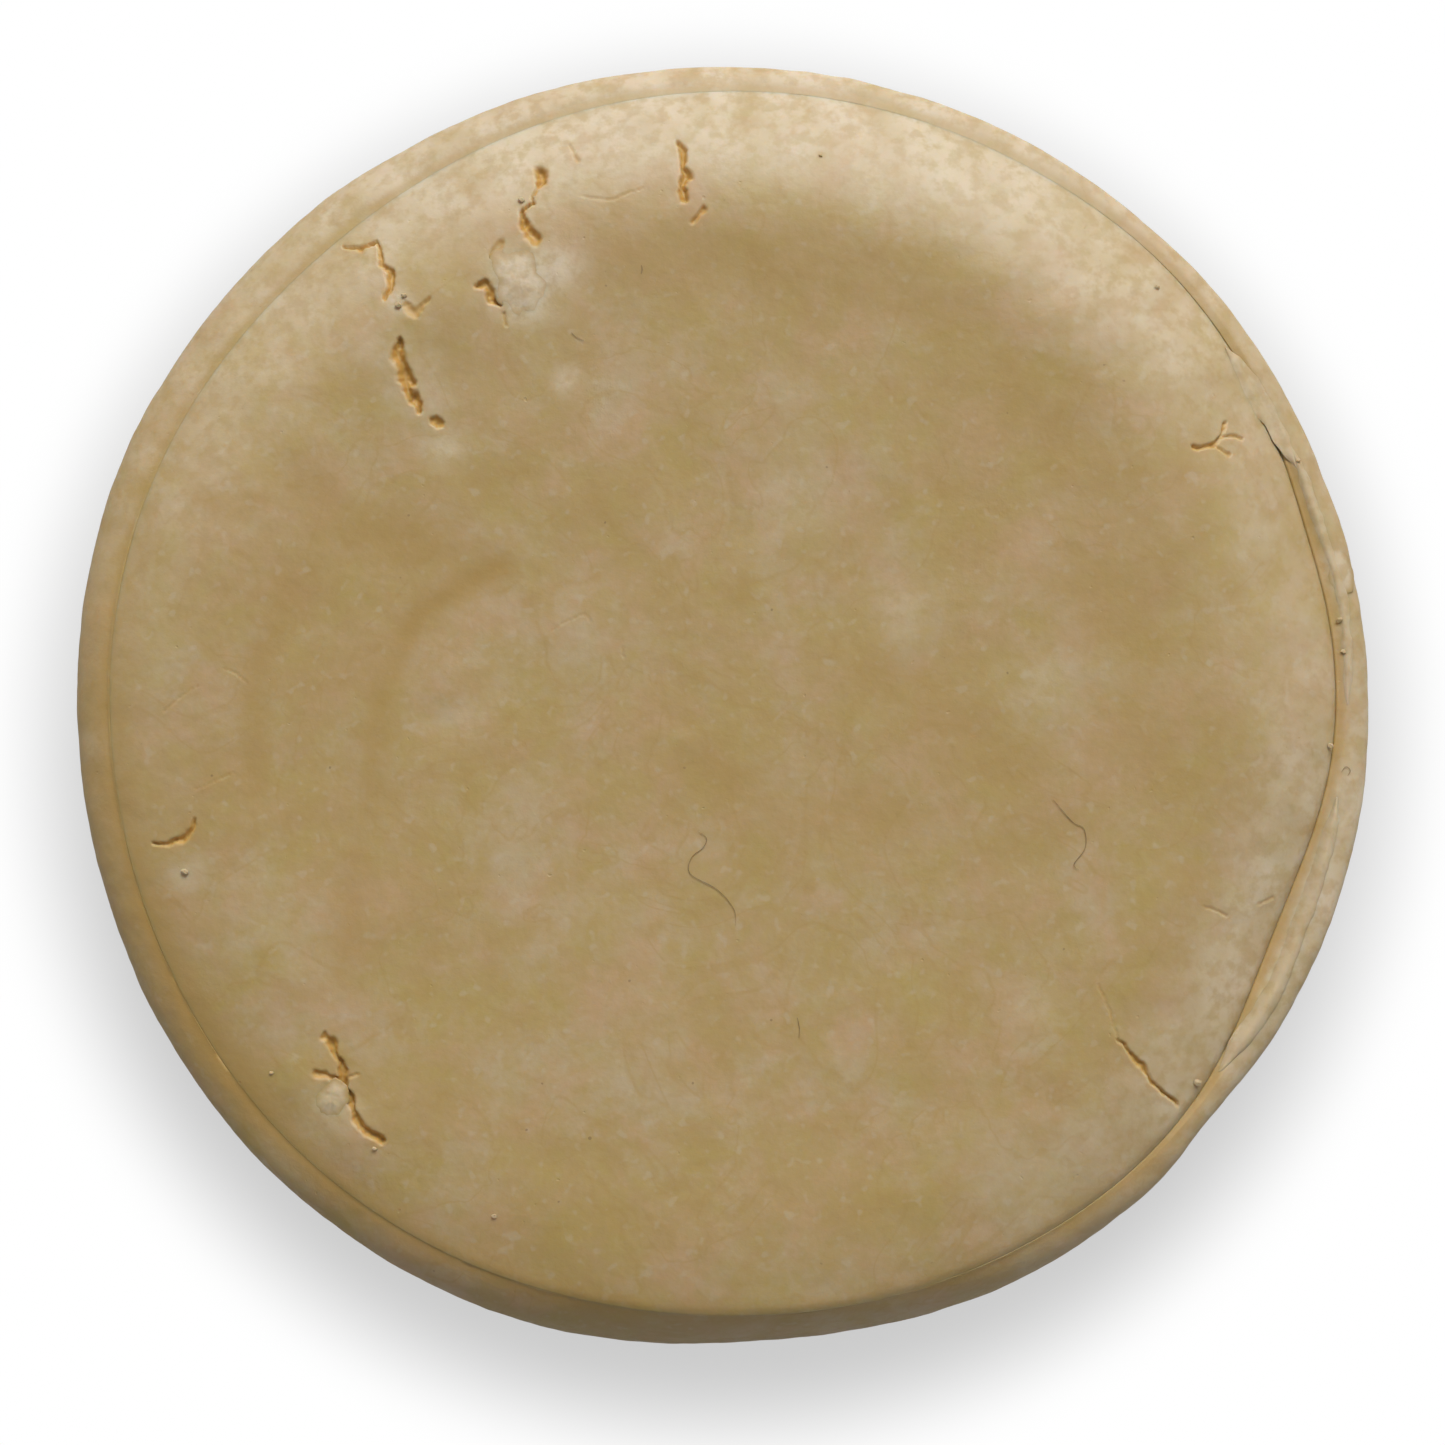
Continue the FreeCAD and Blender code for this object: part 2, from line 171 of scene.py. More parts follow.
# Pale, dry patches: x, y, radius and strength.
BLOOMS = (
    (-10.9, 22.7, 1.9, 0.9), (-8.6, 23.4, 1.3, 0.7), (-10.6, 21.2, 1.0, 0.6), (-14.8, 13.7, 1.1, 0.55),
    (-8.4, 17.3, 0.8, 0.6), (-17.4, 21.6, 0.7, 0.9), (9.35, 5.1, 1.6, 0.35), (17.0, 1.06, 1.4, 0.3),
    (-26.7, 15.7, 0.7, 0.6), (16.6, -16.0, 1.2, 0.3), (-28.67, -8.79, 1.1, 0.35),
    (-20.7, -21.4, 1.4, 0.55), (-13.6, -0.9, 1.2, 0.3), (26.0, 16.5, 2.6, 0.4), (4.0, 11.0, 2.0, 0.3),
    (-22.0, 23.6, 1.3, 0.4), (27.6, -17.4, 1.2, 0.5), (-16.0, 17.2, 1.6, 0.35), (31.2, 11.0, 1.8, 0.35))

# Soft amber streaks where the soap is clearer: half width, strength and the points they run through.
AMBER = (
    (0.8, 0.55, (
        (-17.0, 3.6), (-16.2, 4.86), (-13.3, 6.76), (-11.9, 7.45))),
    (0.9, 0.35, (
        (-16.8, 3.5), (-18.3, 0.5), (-18.6, -3.0))),
    (1.2, 0.3, (
        (-18.6, -4.0), (-19.8, -9.0), (-20.2, -14.5))),
    (0.9, 0.35, (
        (-25.0, -4.0), (-25.0, 1.5), (-23.0, 6.0))),
    (1.6, 0.3, (
        (-22.0, 12.0), (-20.0, 9.0), (-15.0, 8.5))),
    (1.8, 0.25, (
        (-1.0, -3.0), (3.0, -6.0), (8.0, -6.0))),
    (1.6, 0.25, (
        (8.0, 2.0), (12.0, -1.0), (16.0, -3.0))),
    (2.2, 0.25, (
        (20.0, 6.0), (22.0, 3.0), (22.5, -2.0))),
    (2.0, 0.2, (
        (-5.0, 24.0), (2.0, 23.2), (10.0, 22.0))),
    (2.0, 0.2, (
        (10.0, 22.0), (16.0, 18.0), (20.0, 12.0))),
)

# Squeezed soap along the seam: node, height, how ragged it is, how far it bridges the seam, and the
# points of its middle: heading, how far it lies out from the top layer's edge, and half width.
LIPS = (
    ("squeezed_lip_right", 0.08, 0.3, 0.2, (
        (0.0, 0.6, 0.2), (5.0, 0.75, 0.28), (9.7, 0.95, 0.3), (14.0, 0.9, 0.26), (17.2, 0.8, 0.32),
        (20.0, 0.72, 0.3), (24.4, 0.6, 0.24))),
    ("squeezed_lip_lower_right", 0.18, 0.15, 0.2, (
        (-36.5, 0.3, 0.25), (-34.0, 0.42, 0.45), (-31.0, 0.8, 0.55), (-27.0, 1.2, 0.5),
        (-19.0, 1.12, 0.48), (-11.0, 0.85, 0.38), (-8.5, 0.7, 0.2))),
    ("lifted_flap_right", 0.1, 0.2, 0.4, (
        (22.5, 0.5, 0.15), (25.5, 0.32, 0.42), (28.9, 0.12, 0.6), (31.0, 0.0, 0.6), (33.4, -0.12, 0.42),
        (35.5, -0.25, 0.15))),
)

# Lumps that lie on the surface: node, x, y, half length, half width, turn, thickness, raggedness and
# paleness.
PRESSED = (
    ("pressed_crumb_top", -10.9, 22.5, 2.1, 1.5, 112.0, 0.1, 0.3, 1.0),
    ("raised_flake_lower_left", -20.85, -20.95, 1.1, 0.8, 60.0, 0.14, 0.2, 0.55),
    ("pressed_crumb_rim", 33.3, 7.3, 1.4, 0.7, 98.0, 0.07, 0.2, 0.75),
)

# Loose crumbs: a crumb's length, width and height as shares of its size, then each one's x, y and size.
CRUMB_SHAPE = (1.0, 0.85, 0.6)
CRUMBS = (
    (-10.8, 27.0, 0.2), (-17.3, 21.3, 0.22), (-17.0, 21.85, 0.18), (32.6, -2.2, 0.2),
    (23.3, 22.5, 0.18), (25.4, -20.2, 0.24), (-28.75, -8.9, 0.22), (-18.6, -23.6, 0.15),
    (33.2, 4.6, 0.2), (33.4, 2.9, 0.16), (31.0, 13.2, 0.16), (32.15, -8.9, 0.17), (-24.1, -19.6, 0.14),
    (-12.2, -27.2, 0.16), (5.2, 29.4, 0.13))

# Hairs: name, thickness and the points they run through.
HAIRS = (
    ("hair_middle", 0.036, (
        (-1.34, -6.72), (-0.91, -7.06), (-1.08, -7.58), (-1.69, -8.1), (-1.77, -8.96), (-0.3, -9.83),
        (0.56, -10.87), (0.64, -11.73))),
    ("hair_right", 0.036, (
        (17.53, -4.99), (18.57, -6.2), (19.18, -6.55), (19.26, -7.58), (18.66, -8.45), (18.92, -8.75))),
    ("hair_upper", 0.036, (
        (-8.1, 19.85), (-7.85, 19.62), (-7.4, 19.4))),
    ("hair_top", 0.034, (
        (-4.36, 23.45), (-4.32, 23.2), (-4.38, 22.95))),
    ("hair_low", 0.034, (
        (3.93, -16.61), (4.05, -17.2), (4.02, -17.73))),
    ("hair_rim", 0.034, (
        (33.25, -3.6), (33.5, -3.3), (33.75, -3.5), (33.6, -3.8))),
)

# Wear on the sides of the base layer: heading, height, half width in degrees, half height and depth.
WALL_MARKS = (
    (12, 9.0, 3.0, 2.2, 0.22), (48, 13.5, 2.2, 1.6, 0.3), (71, 6.0, 4.0, 1.3, 0.2),
    (97, 14.8, 1.6, 2.4, 0.25), (128, 10.5, 5.0, 1.8, 0.2), (160, 15.2, 2.4, 1.5, 0.3),
    (193, 7.5, 3.4, 2.6, 0.25), (221, 12.0, 1.8, 1.8, 0.35), (236, 4.6, 3.0, 1.2, 0.25),
    (262, 14.0, 4.4, 1.3, 0.22), (289, 9.2, 2.2, 2.4, 0.3), (318, 15.0, 3.0, 1.4, 0.3),
    (341, 5.2, 4.6, 1.6, 0.22), (355, 13.2, 1.6, 1.2, 0.3))

# Pale, dry patches of the base layer's rim: x, y, radius and strength.
RIM_BLOOMS = (
    (33.3, 7.3, 1.7, 0.6), (33.6, 4.0, 1.2, 0.4), (28.9, 18.0, 1.6, 0.35), (-31.5, 13.6, 1.5, 0.4),
    (-29.4, 17.3, 1.6, 0.35), (-33.9, -2.0, 1.3, 0.3), (6.0, -34.2, 1.2, 0.3), (20.0, 28.3, 1.6, 0.3))

# The raised edge is pale over a reach, in degrees, to both sides of a heading, and more weakly so round a
# second heading: partly dry soap, partly a painted sheen and painted light, from the key light's side and
# the right.
DRY_SHEEN_HEADING, DRY_SHEEN_REACH = 88.0, 66.0
DRY_SHEEN_RIGHT_HEADING, DRY_SHEEN_RIGHT_REACH, DRY_SHEEN_RIGHT_SHARE = 338.0, 32.0, 0.75

# How finely the meshes are divided, in millimetres or in points.
FACE_ZONE = 25.5
FACE_GAP, SHOULDER_GAP, EDGE_GAP, CRACK_GAP = 0.36, 0.3, 0.24, 0.1
CRACK_MARGIN, EDGE_MARGIN, RING_CLEARANCE = 0.3, 1.0, 0.6
EDGE_POINTS = 900
BASE_POINTS = 1080
WALL_ROWS, RIM_ROWS, FLANK_ROWS = 44, 20, 18
LIP_STEPS, LIP_ROUND = 220, 16
LUMP_STEPS = (14, 64)
HAIR_STEPS, HAIR_ROUND = 8, 7

# How deep a crack of depth one is, how strongly the amber streaks show, and how far light reaches into
# the soap, in the thick layers and in the thin pieces on them.
CRACK_DEPTH = 0.32
AMBER_STRENGTH = 1.8
SOAP_DEPTH, THIN_DEPTH = 0.9, 0.1

# How far under the puck the floor lies, and where the camera stands over it.
FLOOR_GAP = 0.01
CAMERA_PLACE = (-0.05, -0.92)

# The foot and rim of the base layer: how far the rim starts outside the top layer's edge, the slope in
# degrees at which it starts before it turns over into the wall, how far it falls as a share of its
# width, how much the ledge rises where the seam is shut, and how deep the gap is where it is open.
FOOT_ROUND, WALL_DRAFT = 1.6, 0.7
SEAM_LIP = 0.3
SEAM_LIP_SWELLS = ((339, 12, 1.25), (12, 14, 0.5), (75, 50, 0.2), (235, 60, -0.25))
RIM_SLOPE = 25.0
RIM_SLOPE_SWELLS = ((340, 40, -22.0), (274, 32, 24.0), (190, 30, 6.0))
RIM_FALL = 0.68
RIM_FALL_SWELLS = ((278, 22, 0.35), (225, 32, -0.18))
LEDGE_RISE = 1.25
CREVICE = 0.11

# Slope in degrees at which the top layer's edge meets the seam; steep where the seam is open.
EDGE_SLOPE = 40.0
EDGE_SLOPE_SWELLS = ((345, 34, 40.0), (25, 14, 22.0), (215, 50, -14.0))

# How brown the soap is painted along the seam, as painted shade and glow of light through the soap, most
# on the lower left, away from the key light; how wide that band is; and the painted shade that browns the
# rim at the left.
SEAM_AMBER_SHADE = 0.3
SEAM_AMBER_SHADE_SWELLS = ((208, 45, 0.65), (320, 30, 0.3))
SEAM_SHADE_WIDTH = 0.55
SEAM_SHADE_WIDTH_SWELLS = ((195, 40, 0.7),)
RIM_SHADE_SWELLS = ((182, 26, 0.8),)

# How orange the soap in the groove is painted, as painted shade and glow of light through the soap, and
# how much more where the seam is open.
GROOVE_GLOW_SHADE, OPEN_GLOW_SHADE = 0.05, 0.3
GROOVE_GLOW_SHADE_SWELLS = ((208, 45, 0.2),)

# Sizes that swing from one side of the puck to the other: mean, swing and the heading of the most.
SHOULDER_RUN = (7.1, 1.2, 75.0)
EDGE_ROUND = (1.0, 0.25, 265.0)
RIM_HIGH_HEADING = 245.0


def bell(angle, centre, half_width):
    """A smooth rise of one round a heading."""
    off = (angle - centre + 180.0) % 360.0 - 180.0
    return np.exp(-(off / half_width) ** 2)


def around(angle, level, swells):
    """A size that changes round the puck: its level and the swells on it."""
    total = np.full_like(angle, level)
    for centre, half_width, height in swells:
        total = total + height * bell(angle, centre, half_width)
    return total


def swinging(angle, mean, swing, heading):
    """A size that is a swing above its mean at a heading and as much below it at the other side."""
    return mean + swing * np.cos(np.radians(angle - heading))


def polar_points(radius, angle, height):
    """Points at a distance from the middle, a heading in degrees and a height."""
    turn = np.radians(angle)
    return np.stack([radius * np.cos(turn), radius * np.sin(turn), height], axis=1)


def flat_points(x, y, level=0.0):
    """Places all at one level, as points."""
    return np.stack([x, y, np.full_like(x, level)], axis=1)


def step(value, low, high):
    """Smoothly from nought at low to one at high."""
    t = np.clip((value - low) / (high - low), 0.0, 1.0)
    return t * t * (3.0 - 2.0 * t)


def grain(points, scale, octaves=3, seed=0.0):
    """Fractal noise, about -1 to 1, at points in millimetres, with features about scale across."""
    shift = Vector((seed * 17.3, seed * -9.1, seed * 5.7))
    return np.array([noise.fractal(Vector(p) / scale + shift, 1.0, 2.0, octaves) for p in points])


def heading_of(x, y):
    return np.degrees(np.arctan2(y, x)) % 360.0


class Puck:
    """The puck's surfaces as functions of place, in millimetres."""

    def __init__(self, shape):
        self.face = shape.face_height / MM
        self.rim = shape.rim_height / MM
        self.seat = shape.seat_height / MM
        self.radius = shape.radius / MM
        self.tilt = shape.rim_tilt / MM

    def outline(self, angle):
        """The widest radius of the base layer."""
        return around(angle, self.radius - OUTLINE_INSET, OUTLINE_SWELLS)

    def edge(self, angle):
        """The widest radius of the top layer."""
        return around(angle, self.radius - EDGE_INSET, EDGE_SWELLS)

    def crest(self, angle):
        """Height of the rim, which stands higher towards the lower left."""
        return swinging(angle, self.rim, self.tilt, RIM_HIGH_HEADING)

    def open_share(self, angle):
        """How open the seam is, from nought to one."""
        return np.clip(around(angle, 0.0, OPEN_SWELLS), 0.0, 1.0)

    def rim_slope(self, angle):
        """Slope at which the rim starts, in radians."""
        return np.radians(np.clip(around(angle, RIM_SLOPE, RIM_SLOPE_SWELLS), 2.0, 60.0))

    def ledge(self, angle):
        """Height of the ledge inside the rim: the rim's slope carried on where the seam is shut."""
        carried = LEDGE_RISE * around(angle, SEAM_LIP, SEAM_LIP_SWELLS) * np.tan(self.rim_slope(angle))
        dip = around(angle, 0.0, GROOVE_SWELLS)
        return self.crest(angle) + carried * (1.0 - self.open_share(angle)) - dip

    def groove(self, angle):
        """Height at which the top layer's edge ends, in a narrow gap where the seam is open."""
        return self.ledge(angle) - CREVICE * self.open_share(angle)

    def seam_amber_shade(self, angle, distance):
        """How brown the soap is painted at a distance from the middle, most at the seam: painted shade and
        glow of light through the soap.
        """
        width = around(angle, SEAM_SHADE_WIDTH, SEAM_SHADE_WIDTH_SWELLS)
        away = (distance - self.edge(angle)) / width
        return around(angle, SEAM_AMBER_SHADE, SEAM_AMBER_SHADE_SWELLS) * np.exp(-away ** 2)

    def shoulder_run(self, angle):
        """Width of the shoulder, from the flat face to the round at the edge."""
        return swinging(angle, *SHOULDER_RUN)

    def edge_round(self, angle):
        """Radius of the round at the very edge of the top layer."""
        return swinging(angle, *EDGE_ROUND)


def segment_distance(x, y, start, end):
    """Distance to a stretch, and how far along it the nearest point is."""
    ax, ay = start[0], start[1]
    dx, dy = end[0] - ax, end[1] - ay
    along = np.clip(((x - ax) * dx + (y - ay) * dy) / (dx * dx + dy * dy), 0.0, 1.0)
    return np.hypot(x - ax - along * dx, y - ay - along * dy), along


def near_crack(x, y, points, margin):
    """Which places are inside the box round a crack's points."""
    px = [p[0] for p in points]
    py = [p[1] for p in points]
    beside = (x > min(px) - margin) & (x < max(px) + margin)
    return beside & (y > min(py) - margin) & (y < max(py) + margin)


def crack_depth(x, y):
    """How deep the cracks are at each place, and the same as a share of one."""
    depth = np.zeros_like(x)
    share = np.zeros_like(x)
    for number, (half_width, deepest, jagged, points) in enumerate(CRACKS.values()):
        near = near_crack(x, y, points, 2.5 * half_width + 0.4)
        if not near.any():
            continue
        nx, ny = x[near], y[near]
        flat = flat_points(nx, ny, number * 3.0)
        wander = half_width * jagged
        wx = nx + wander * grain(flat, 0.6, 4, 1.0) * 1.5
        wy = ny + wander * grain(flat, 0.6, 4, 2.0) * 1.5
        open_share = np.zeros_like(nx)
        for start, end in zip(points, points[1:]):
            away, along = segment_distance(wx, wy, start, end)
            width = half_width * (start[2] + (end[2] - start[2]) * along)
            open_share = np.maximum(open_share, 1.0 - away / width)
        open_share = np.clip(open_share, 0.0, 1.0)
        rough = 1.0 + 0.35 * grain(flat, 0.35, 3, 3.0)
        here = CRACK_DEPTH * deepest * step(open_share, 0.0, 0.85) * rough
        depth[near] = np.maximum(depth[near], here)
        # The share paints the cracks orange, deeper cracks more: painted shade and glow of light through
        # the soap.
        share[near] = np.maximum(share[near], step(open_share, 0.0, 0.55) * min(deepest / 0.7, 1.0))
    return depth, share


def spots(x, y, marks):
    """Soft round marks, each x, y, radius and strength, added up."""
    total = np.zeros_like(x)
    for mx, my, radius, strength in marks:
        total = total + strength * np.exp(-((x - mx) ** 2 + (y - my) ** 2) / radius ** 2)
    return total


def streaks(x, y, lines):
    """Soft streaks along lines, the strongest at each place."""
    total = np.zeros_like(x)
    for half_width, strength, points in lines:
        for start, end in zip(points, points[1:]):
            away, _ = segment_distance(x, y, start, end)
            total = np.maximum(total, strength * np.exp(-(away / half_width) ** 2))
    return total


# ---------------------------------------------------------------------------------------------
# Mesh helpers
# ---------------------------------------------------------------------------------------------

def add_piece(name, verts, faces, material, marks=None, smooth=True):
    """Make a mesh object from points in millimetres, with its material and painted marks."""
    mesh = bpy.data.meshes.new(name)
    mesh.from_pydata((np.asarray(verts) * MM).tolist(), [], faces)
    mesh.validate()
    for mark, values in (marks or {}).items():
        layer = mesh.attributes.new(mark, "FLOAT", "POINT")
        layer.data.foreach_set("value", np.asarray(values, dtype=np.float32))
    if smooth:
        mesh.polygons.foreach_set("use_smooth", [True] * len(mesh.polygons))
    mesh.materials.append(material)
    piece = bpy.data.objects.new(name, mesh)
    bpy.context.scene.collection.objects.link(piece)
    return piece


def sharpen_ring(mesh, count):
    """Keep the shading apart on the two sides of the ring made by a mesh's first points."""
    ends = np.empty(2 * len(mesh.edges), dtype=np.int32)
    mesh.edges.foreach_get("vertices", ends)
    on_ring = (ends.reshape(-1, 2) < count).all(axis=1)
    mesh.attributes.new("sharp_edge", "BOOLEAN", "EDGE").data.foreach_set("value", on_ring)


def finish_piece(piece, slot, *nodes):
    """Tie a piece to the frame: the body it rides on, and hide the nodes it stands for. The slot is not
    used.
    """
    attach(piece, BODY)
    if nodes:
        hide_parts(*nodes)


def ring_faces(rings, count):
    """Quads between rings of count points each, every ring closed on itself."""
    faces = []
    for ring in range(rings - 1):
        low, high = ring * count, (ring + 1) * count
        for i in range(count):
            j = (i + 1) % count
            faces.append((low + i, low + j, high + j, high + i))
    return faces


def hex_points(reach, gap, keep):
    """Staggered points a gap apart in a square of half side reach, those that keep says yes to."""
    rows = np.arange(-reach, reach + gap, gap * math.sqrt(0.75))
    points = []
    for number, y in enumerate(rows):
        x = np.arange(-reach, reach + gap, gap) + (gap / 2 if number % 2 else 0.0)
        points.append(np.stack([x, np.full_like(x, y)], axis=1))
    points = np.concatenate(points)
    return points[keep(points[:, 0], points[:, 1])]


def crack_distance(x, y):
    """Distance to the nearest crack's side, or a large number away from them all."""
    best = np.full_like(x, 1e9)
    for half_width, _, _, points in CRACKS.values():
        near = near_crack(x, y, points, 1.3 * half_width + 2.0 * CRACK_MARGIN)
        for start, end in zip(points, points[1:]):
            away, _ = segment_distance(x[near], y[near], start, end)
            best[near] = np.minimum(best[near], away - 1.3 * half_width)
    return best


# ---------------------------------------------------------------------------------------------
# Pieces
# ---------------------------------------------------------------------------------------------

class TopLayerForm:
    """Section of the top layer at each heading: shoulder, then the round at its edge."""

    POWER = 2.3

    def __init__(self, puck, angle):
        self.puck = puck
        self.run = puck.shoulder_run(angle)
        self.turn = puck.edge_round(angle)
        self.slope = np.full_like(angle, 0.5)
        total = puck.face - puck.groove(angle)
        for _ in range(6):
            steepest = np.radians(around(angle, EDGE_SLOPE, EDGE_SLOPE_SWELLS))
            self.last = np.maximum(steepest, self.slope + 0.1)
            rounded = self.turn * (np.cos(self.slope) - np.cos(self.last))
            self.fall = np.clip(total - rounded, 0.2, None)
            self.slope = np.arctan(self.POWER * self.fall / self.run)
        self.start = puck.edge(angle) - self.turn * (np.sin(self.last) - np.sin(self.slope))
        self.end = self.start + self.turn * (self.last - self.slope)

    def place(self, unrolled):
        """Radius, height and slope at a distance measured along the section near its edge."""
        share = np.clip((unrolled - self.start + self.run) / self.run, 0.0, 1.0)
        height = self.puck.face - self.fall * share ** self.POWER
        lean = np.arctan(self.POWER * self.fall / self.run * share ** (self.POWER - 1.0))
        past = np.clip(unrolled - self.start, 0.0, None)
        turned = np.minimum(self.slope + past / self.turn, self.last)
        radius = np.minimum(unrolled, self.start) + self.turn * (np.sin(turned) - np.sin(self.slope))
        height = height - self.turn * (np.cos(self.slope) - np.cos(turned))
        return radius, height, np.where(past > 0.0, turned, lean)


def dry_and_sheen_share(angle, high, flat):
    """How pale the raised edge is, most towards the top of the puck: partly dry soap, partly a painted
    sheen and painted light where the key light and the light from the right fall.
    """
    right = DRY_SHEEN_RIGHT_SHARE * bell(angle, DRY_SHEEN_RIGHT_HEADING, DRY_SHEEN_RIGHT_REACH)
    reach = np.maximum(bell(angle, DRY_SHEEN_HEADING, DRY_SHEEN_REACH), right)
    return high * reach * (0.85 + 0.5 * grain(flat, 2.2, 3, 6.0))


def relief(flat, shoulder):
    """The soft unevenness that runs over both layers."""
    swell = 0.07 * grain(flat, 7.0, 3, 4.0) + 0.02 * grain(flat, 1.9, 3, 5.0) * (0.6 + shoulder)
    return swell + spots(flat[:, 0], flat[:, 1], HOLLOWS)


def top_surface(puck, x, y):
    """The top layer's surface at unrolled places: the points, and the marks painted on them."""
    angle, unrolled = heading_of(x, y), np.hypot(x, y)
    form = TopLayerForm(puck, angle)
    radius, height, slope = form.place(unrolled)
    flat = flat_points(x, y)
    shoulder = step(unrolled, 22.0, 29.0)
    depth, share = crack_depth(x, y)
    swell = relief(flat, shoulder) - depth
    amber = np.clip(AMBER_STRENGTH * streaks(x, y, AMBER), 0.0, 1.0)
    swell = swell - 0.03 * amber
    # The amber mark holds the clearer streaks and, along the seam, painted shade.
    amber = np.maximum(amber, puck.seam_amber_shade(angle, radius))
    reach = radius + swell * np.sin(slope) * (1.0 - step(unrolled, form.end - 0.6, form.end))
    points = polar_points(reach, angle, height + swell * np.cos(slope))
    # The bloom and sheen mark: dry patches, and on the raised edge dry soap with a painted sheen and
    # painted light.
    bloom_and_sheen = np.maximum(spots(x, y, BLOOMS), dry_and_sheen_share(angle, step(unrolled, 26.5, 31.0), flat))
    return points, {"crack": share, "bloom_and_sheen": np.clip(bloom_and_sheen, 0.0, 1.0), "amber": amber}


def top_layer_mesh(puck, fine):
    """Points, faces and marks of the whole top layer, its upper side finest along the cracks."""
    headings = np.arange(EDGE_POINTS) * 360.0 / EDGE_POINTS
    form = TopLayerForm(puck, headings)
    rim = polar_points(form.end, headings, 0.0 * headings)[:, :2]

    def past_edge(x, y):
        angle = heading_of(x, y)
        index = (angle / 360.0 * EDGE_POINTS).astype(int) % EDGE_POINTS
        return np.hypot(x, y) - form.end[index], np.hypot(x, y) - form.start[index]

    def face_zone(x, y):
        inside = np.hypot(x, y) < FACE_ZONE
        return inside & (crack_distance(x, y) > CRACK_MARGIN)

    def shoulder_zone(x, y):
        _, start = past_edge(x, y)
        inside = (np.hypot(x, y) >= FACE_ZONE) & (start < -EDGE_MARGIN)
        return inside & (crack_distance(x, y) > CRACK_MARGIN)

    def edge_zone(x, y):
        end, start = past_edge(x, y)
        inside = (start >= -EDGE_MARGIN) & (end < -RING_CLEARANCE * EDGE_GAP * fine)
        return inside & (crack_distance(x, y) > CRACK_MARGIN)

    def crack_zone(x, y):
        end, _ = past_edge(x, y)
        return (crack_distance(x, y) <= CRACK_MARGIN) & (end < -RING_CLEARANCE * EDGE_GAP * fine)

    reach = form.end.max() + 1.0
    places = [rim]
    for gap, zone in ((FACE_GAP, face_zone), (SHOULDER_GAP, shoulder_zone), (EDGE_GAP, edge_zone),
                      (CRACK_GAP, crack_zone)):
        places.append(hex_points(reach, gap * fine, zone))
    places = np.concatenate(places)
    jitter = np.random.default_rng(7).uniform(-0.012, 0.012, places.shape)
    jitter[:EDGE_POINTS] = 0.0
    places = places + jitter
    loop = [(i, (i + 1) % EDGE_POINTS) for i in range(EDGE_POINTS)]
    found = delaunay_2d_cdt([Vector(p) for p in places], loop, [], 1, 1e-7)
    if len(found[0]) != len(places):
        raise RuntimeError("the top layer's points were merged")
    order = [found[3][i][0] for i in range(len(found[0]))]
    faces = [tuple(order[i] for i in face) for face in found[2]]
    points, marks = top_surface(puck, places[:, 0], places[:, 1])
    return close_top_layer(puck, headings, points, faces, marks)


def close_top_layer(puck, headings, points, faces, marks):
    """Carry the edge ring down to the seat and close the underside."""
    ring = points[:EDGE_POINTS]
    across = np.hypot(ring[:, 0], ring[:, 1])
    bottom = puck.seat + 0.03
    rows = []
    for share in (0.5, 1.0):
        radius = across - 0.2 * share
        rows.append((radius, ring[:, 2] + (bottom - ring[:, 2]) * share))
    rows.append((across - 1.2, np.full_like(across, bottom)))
    rows.append((across * 0.5, np.full_like(across, bottom)))
    start = len(points)
    extra = [polar_points(radius, headings, z) for radius, z in rows]
    extra.append(np.array([[0.0, 0.0, bottom]]))
    points = np.concatenate([points] + extra)
    previous = 0
    for number in range(len(rows)):
        current = start + number * EDGE_POINTS
        for i in range(EDGE_POINTS):
            j = (i + 1) % EDGE_POINTS
            faces.append((previous + j, previous + i, current + i, current + j))
        previous = current
    centre = len(points) - 1
    faces.extend((previous + (i + 1) % EDGE_POINTS, previous + i, centre) for i in range(EDGE_POINTS))
    added = len(points) - start
    marks = {name: np.concatenate([values, np.zeros(added)]) for name, values in marks.items()}
    return points, faces, marks


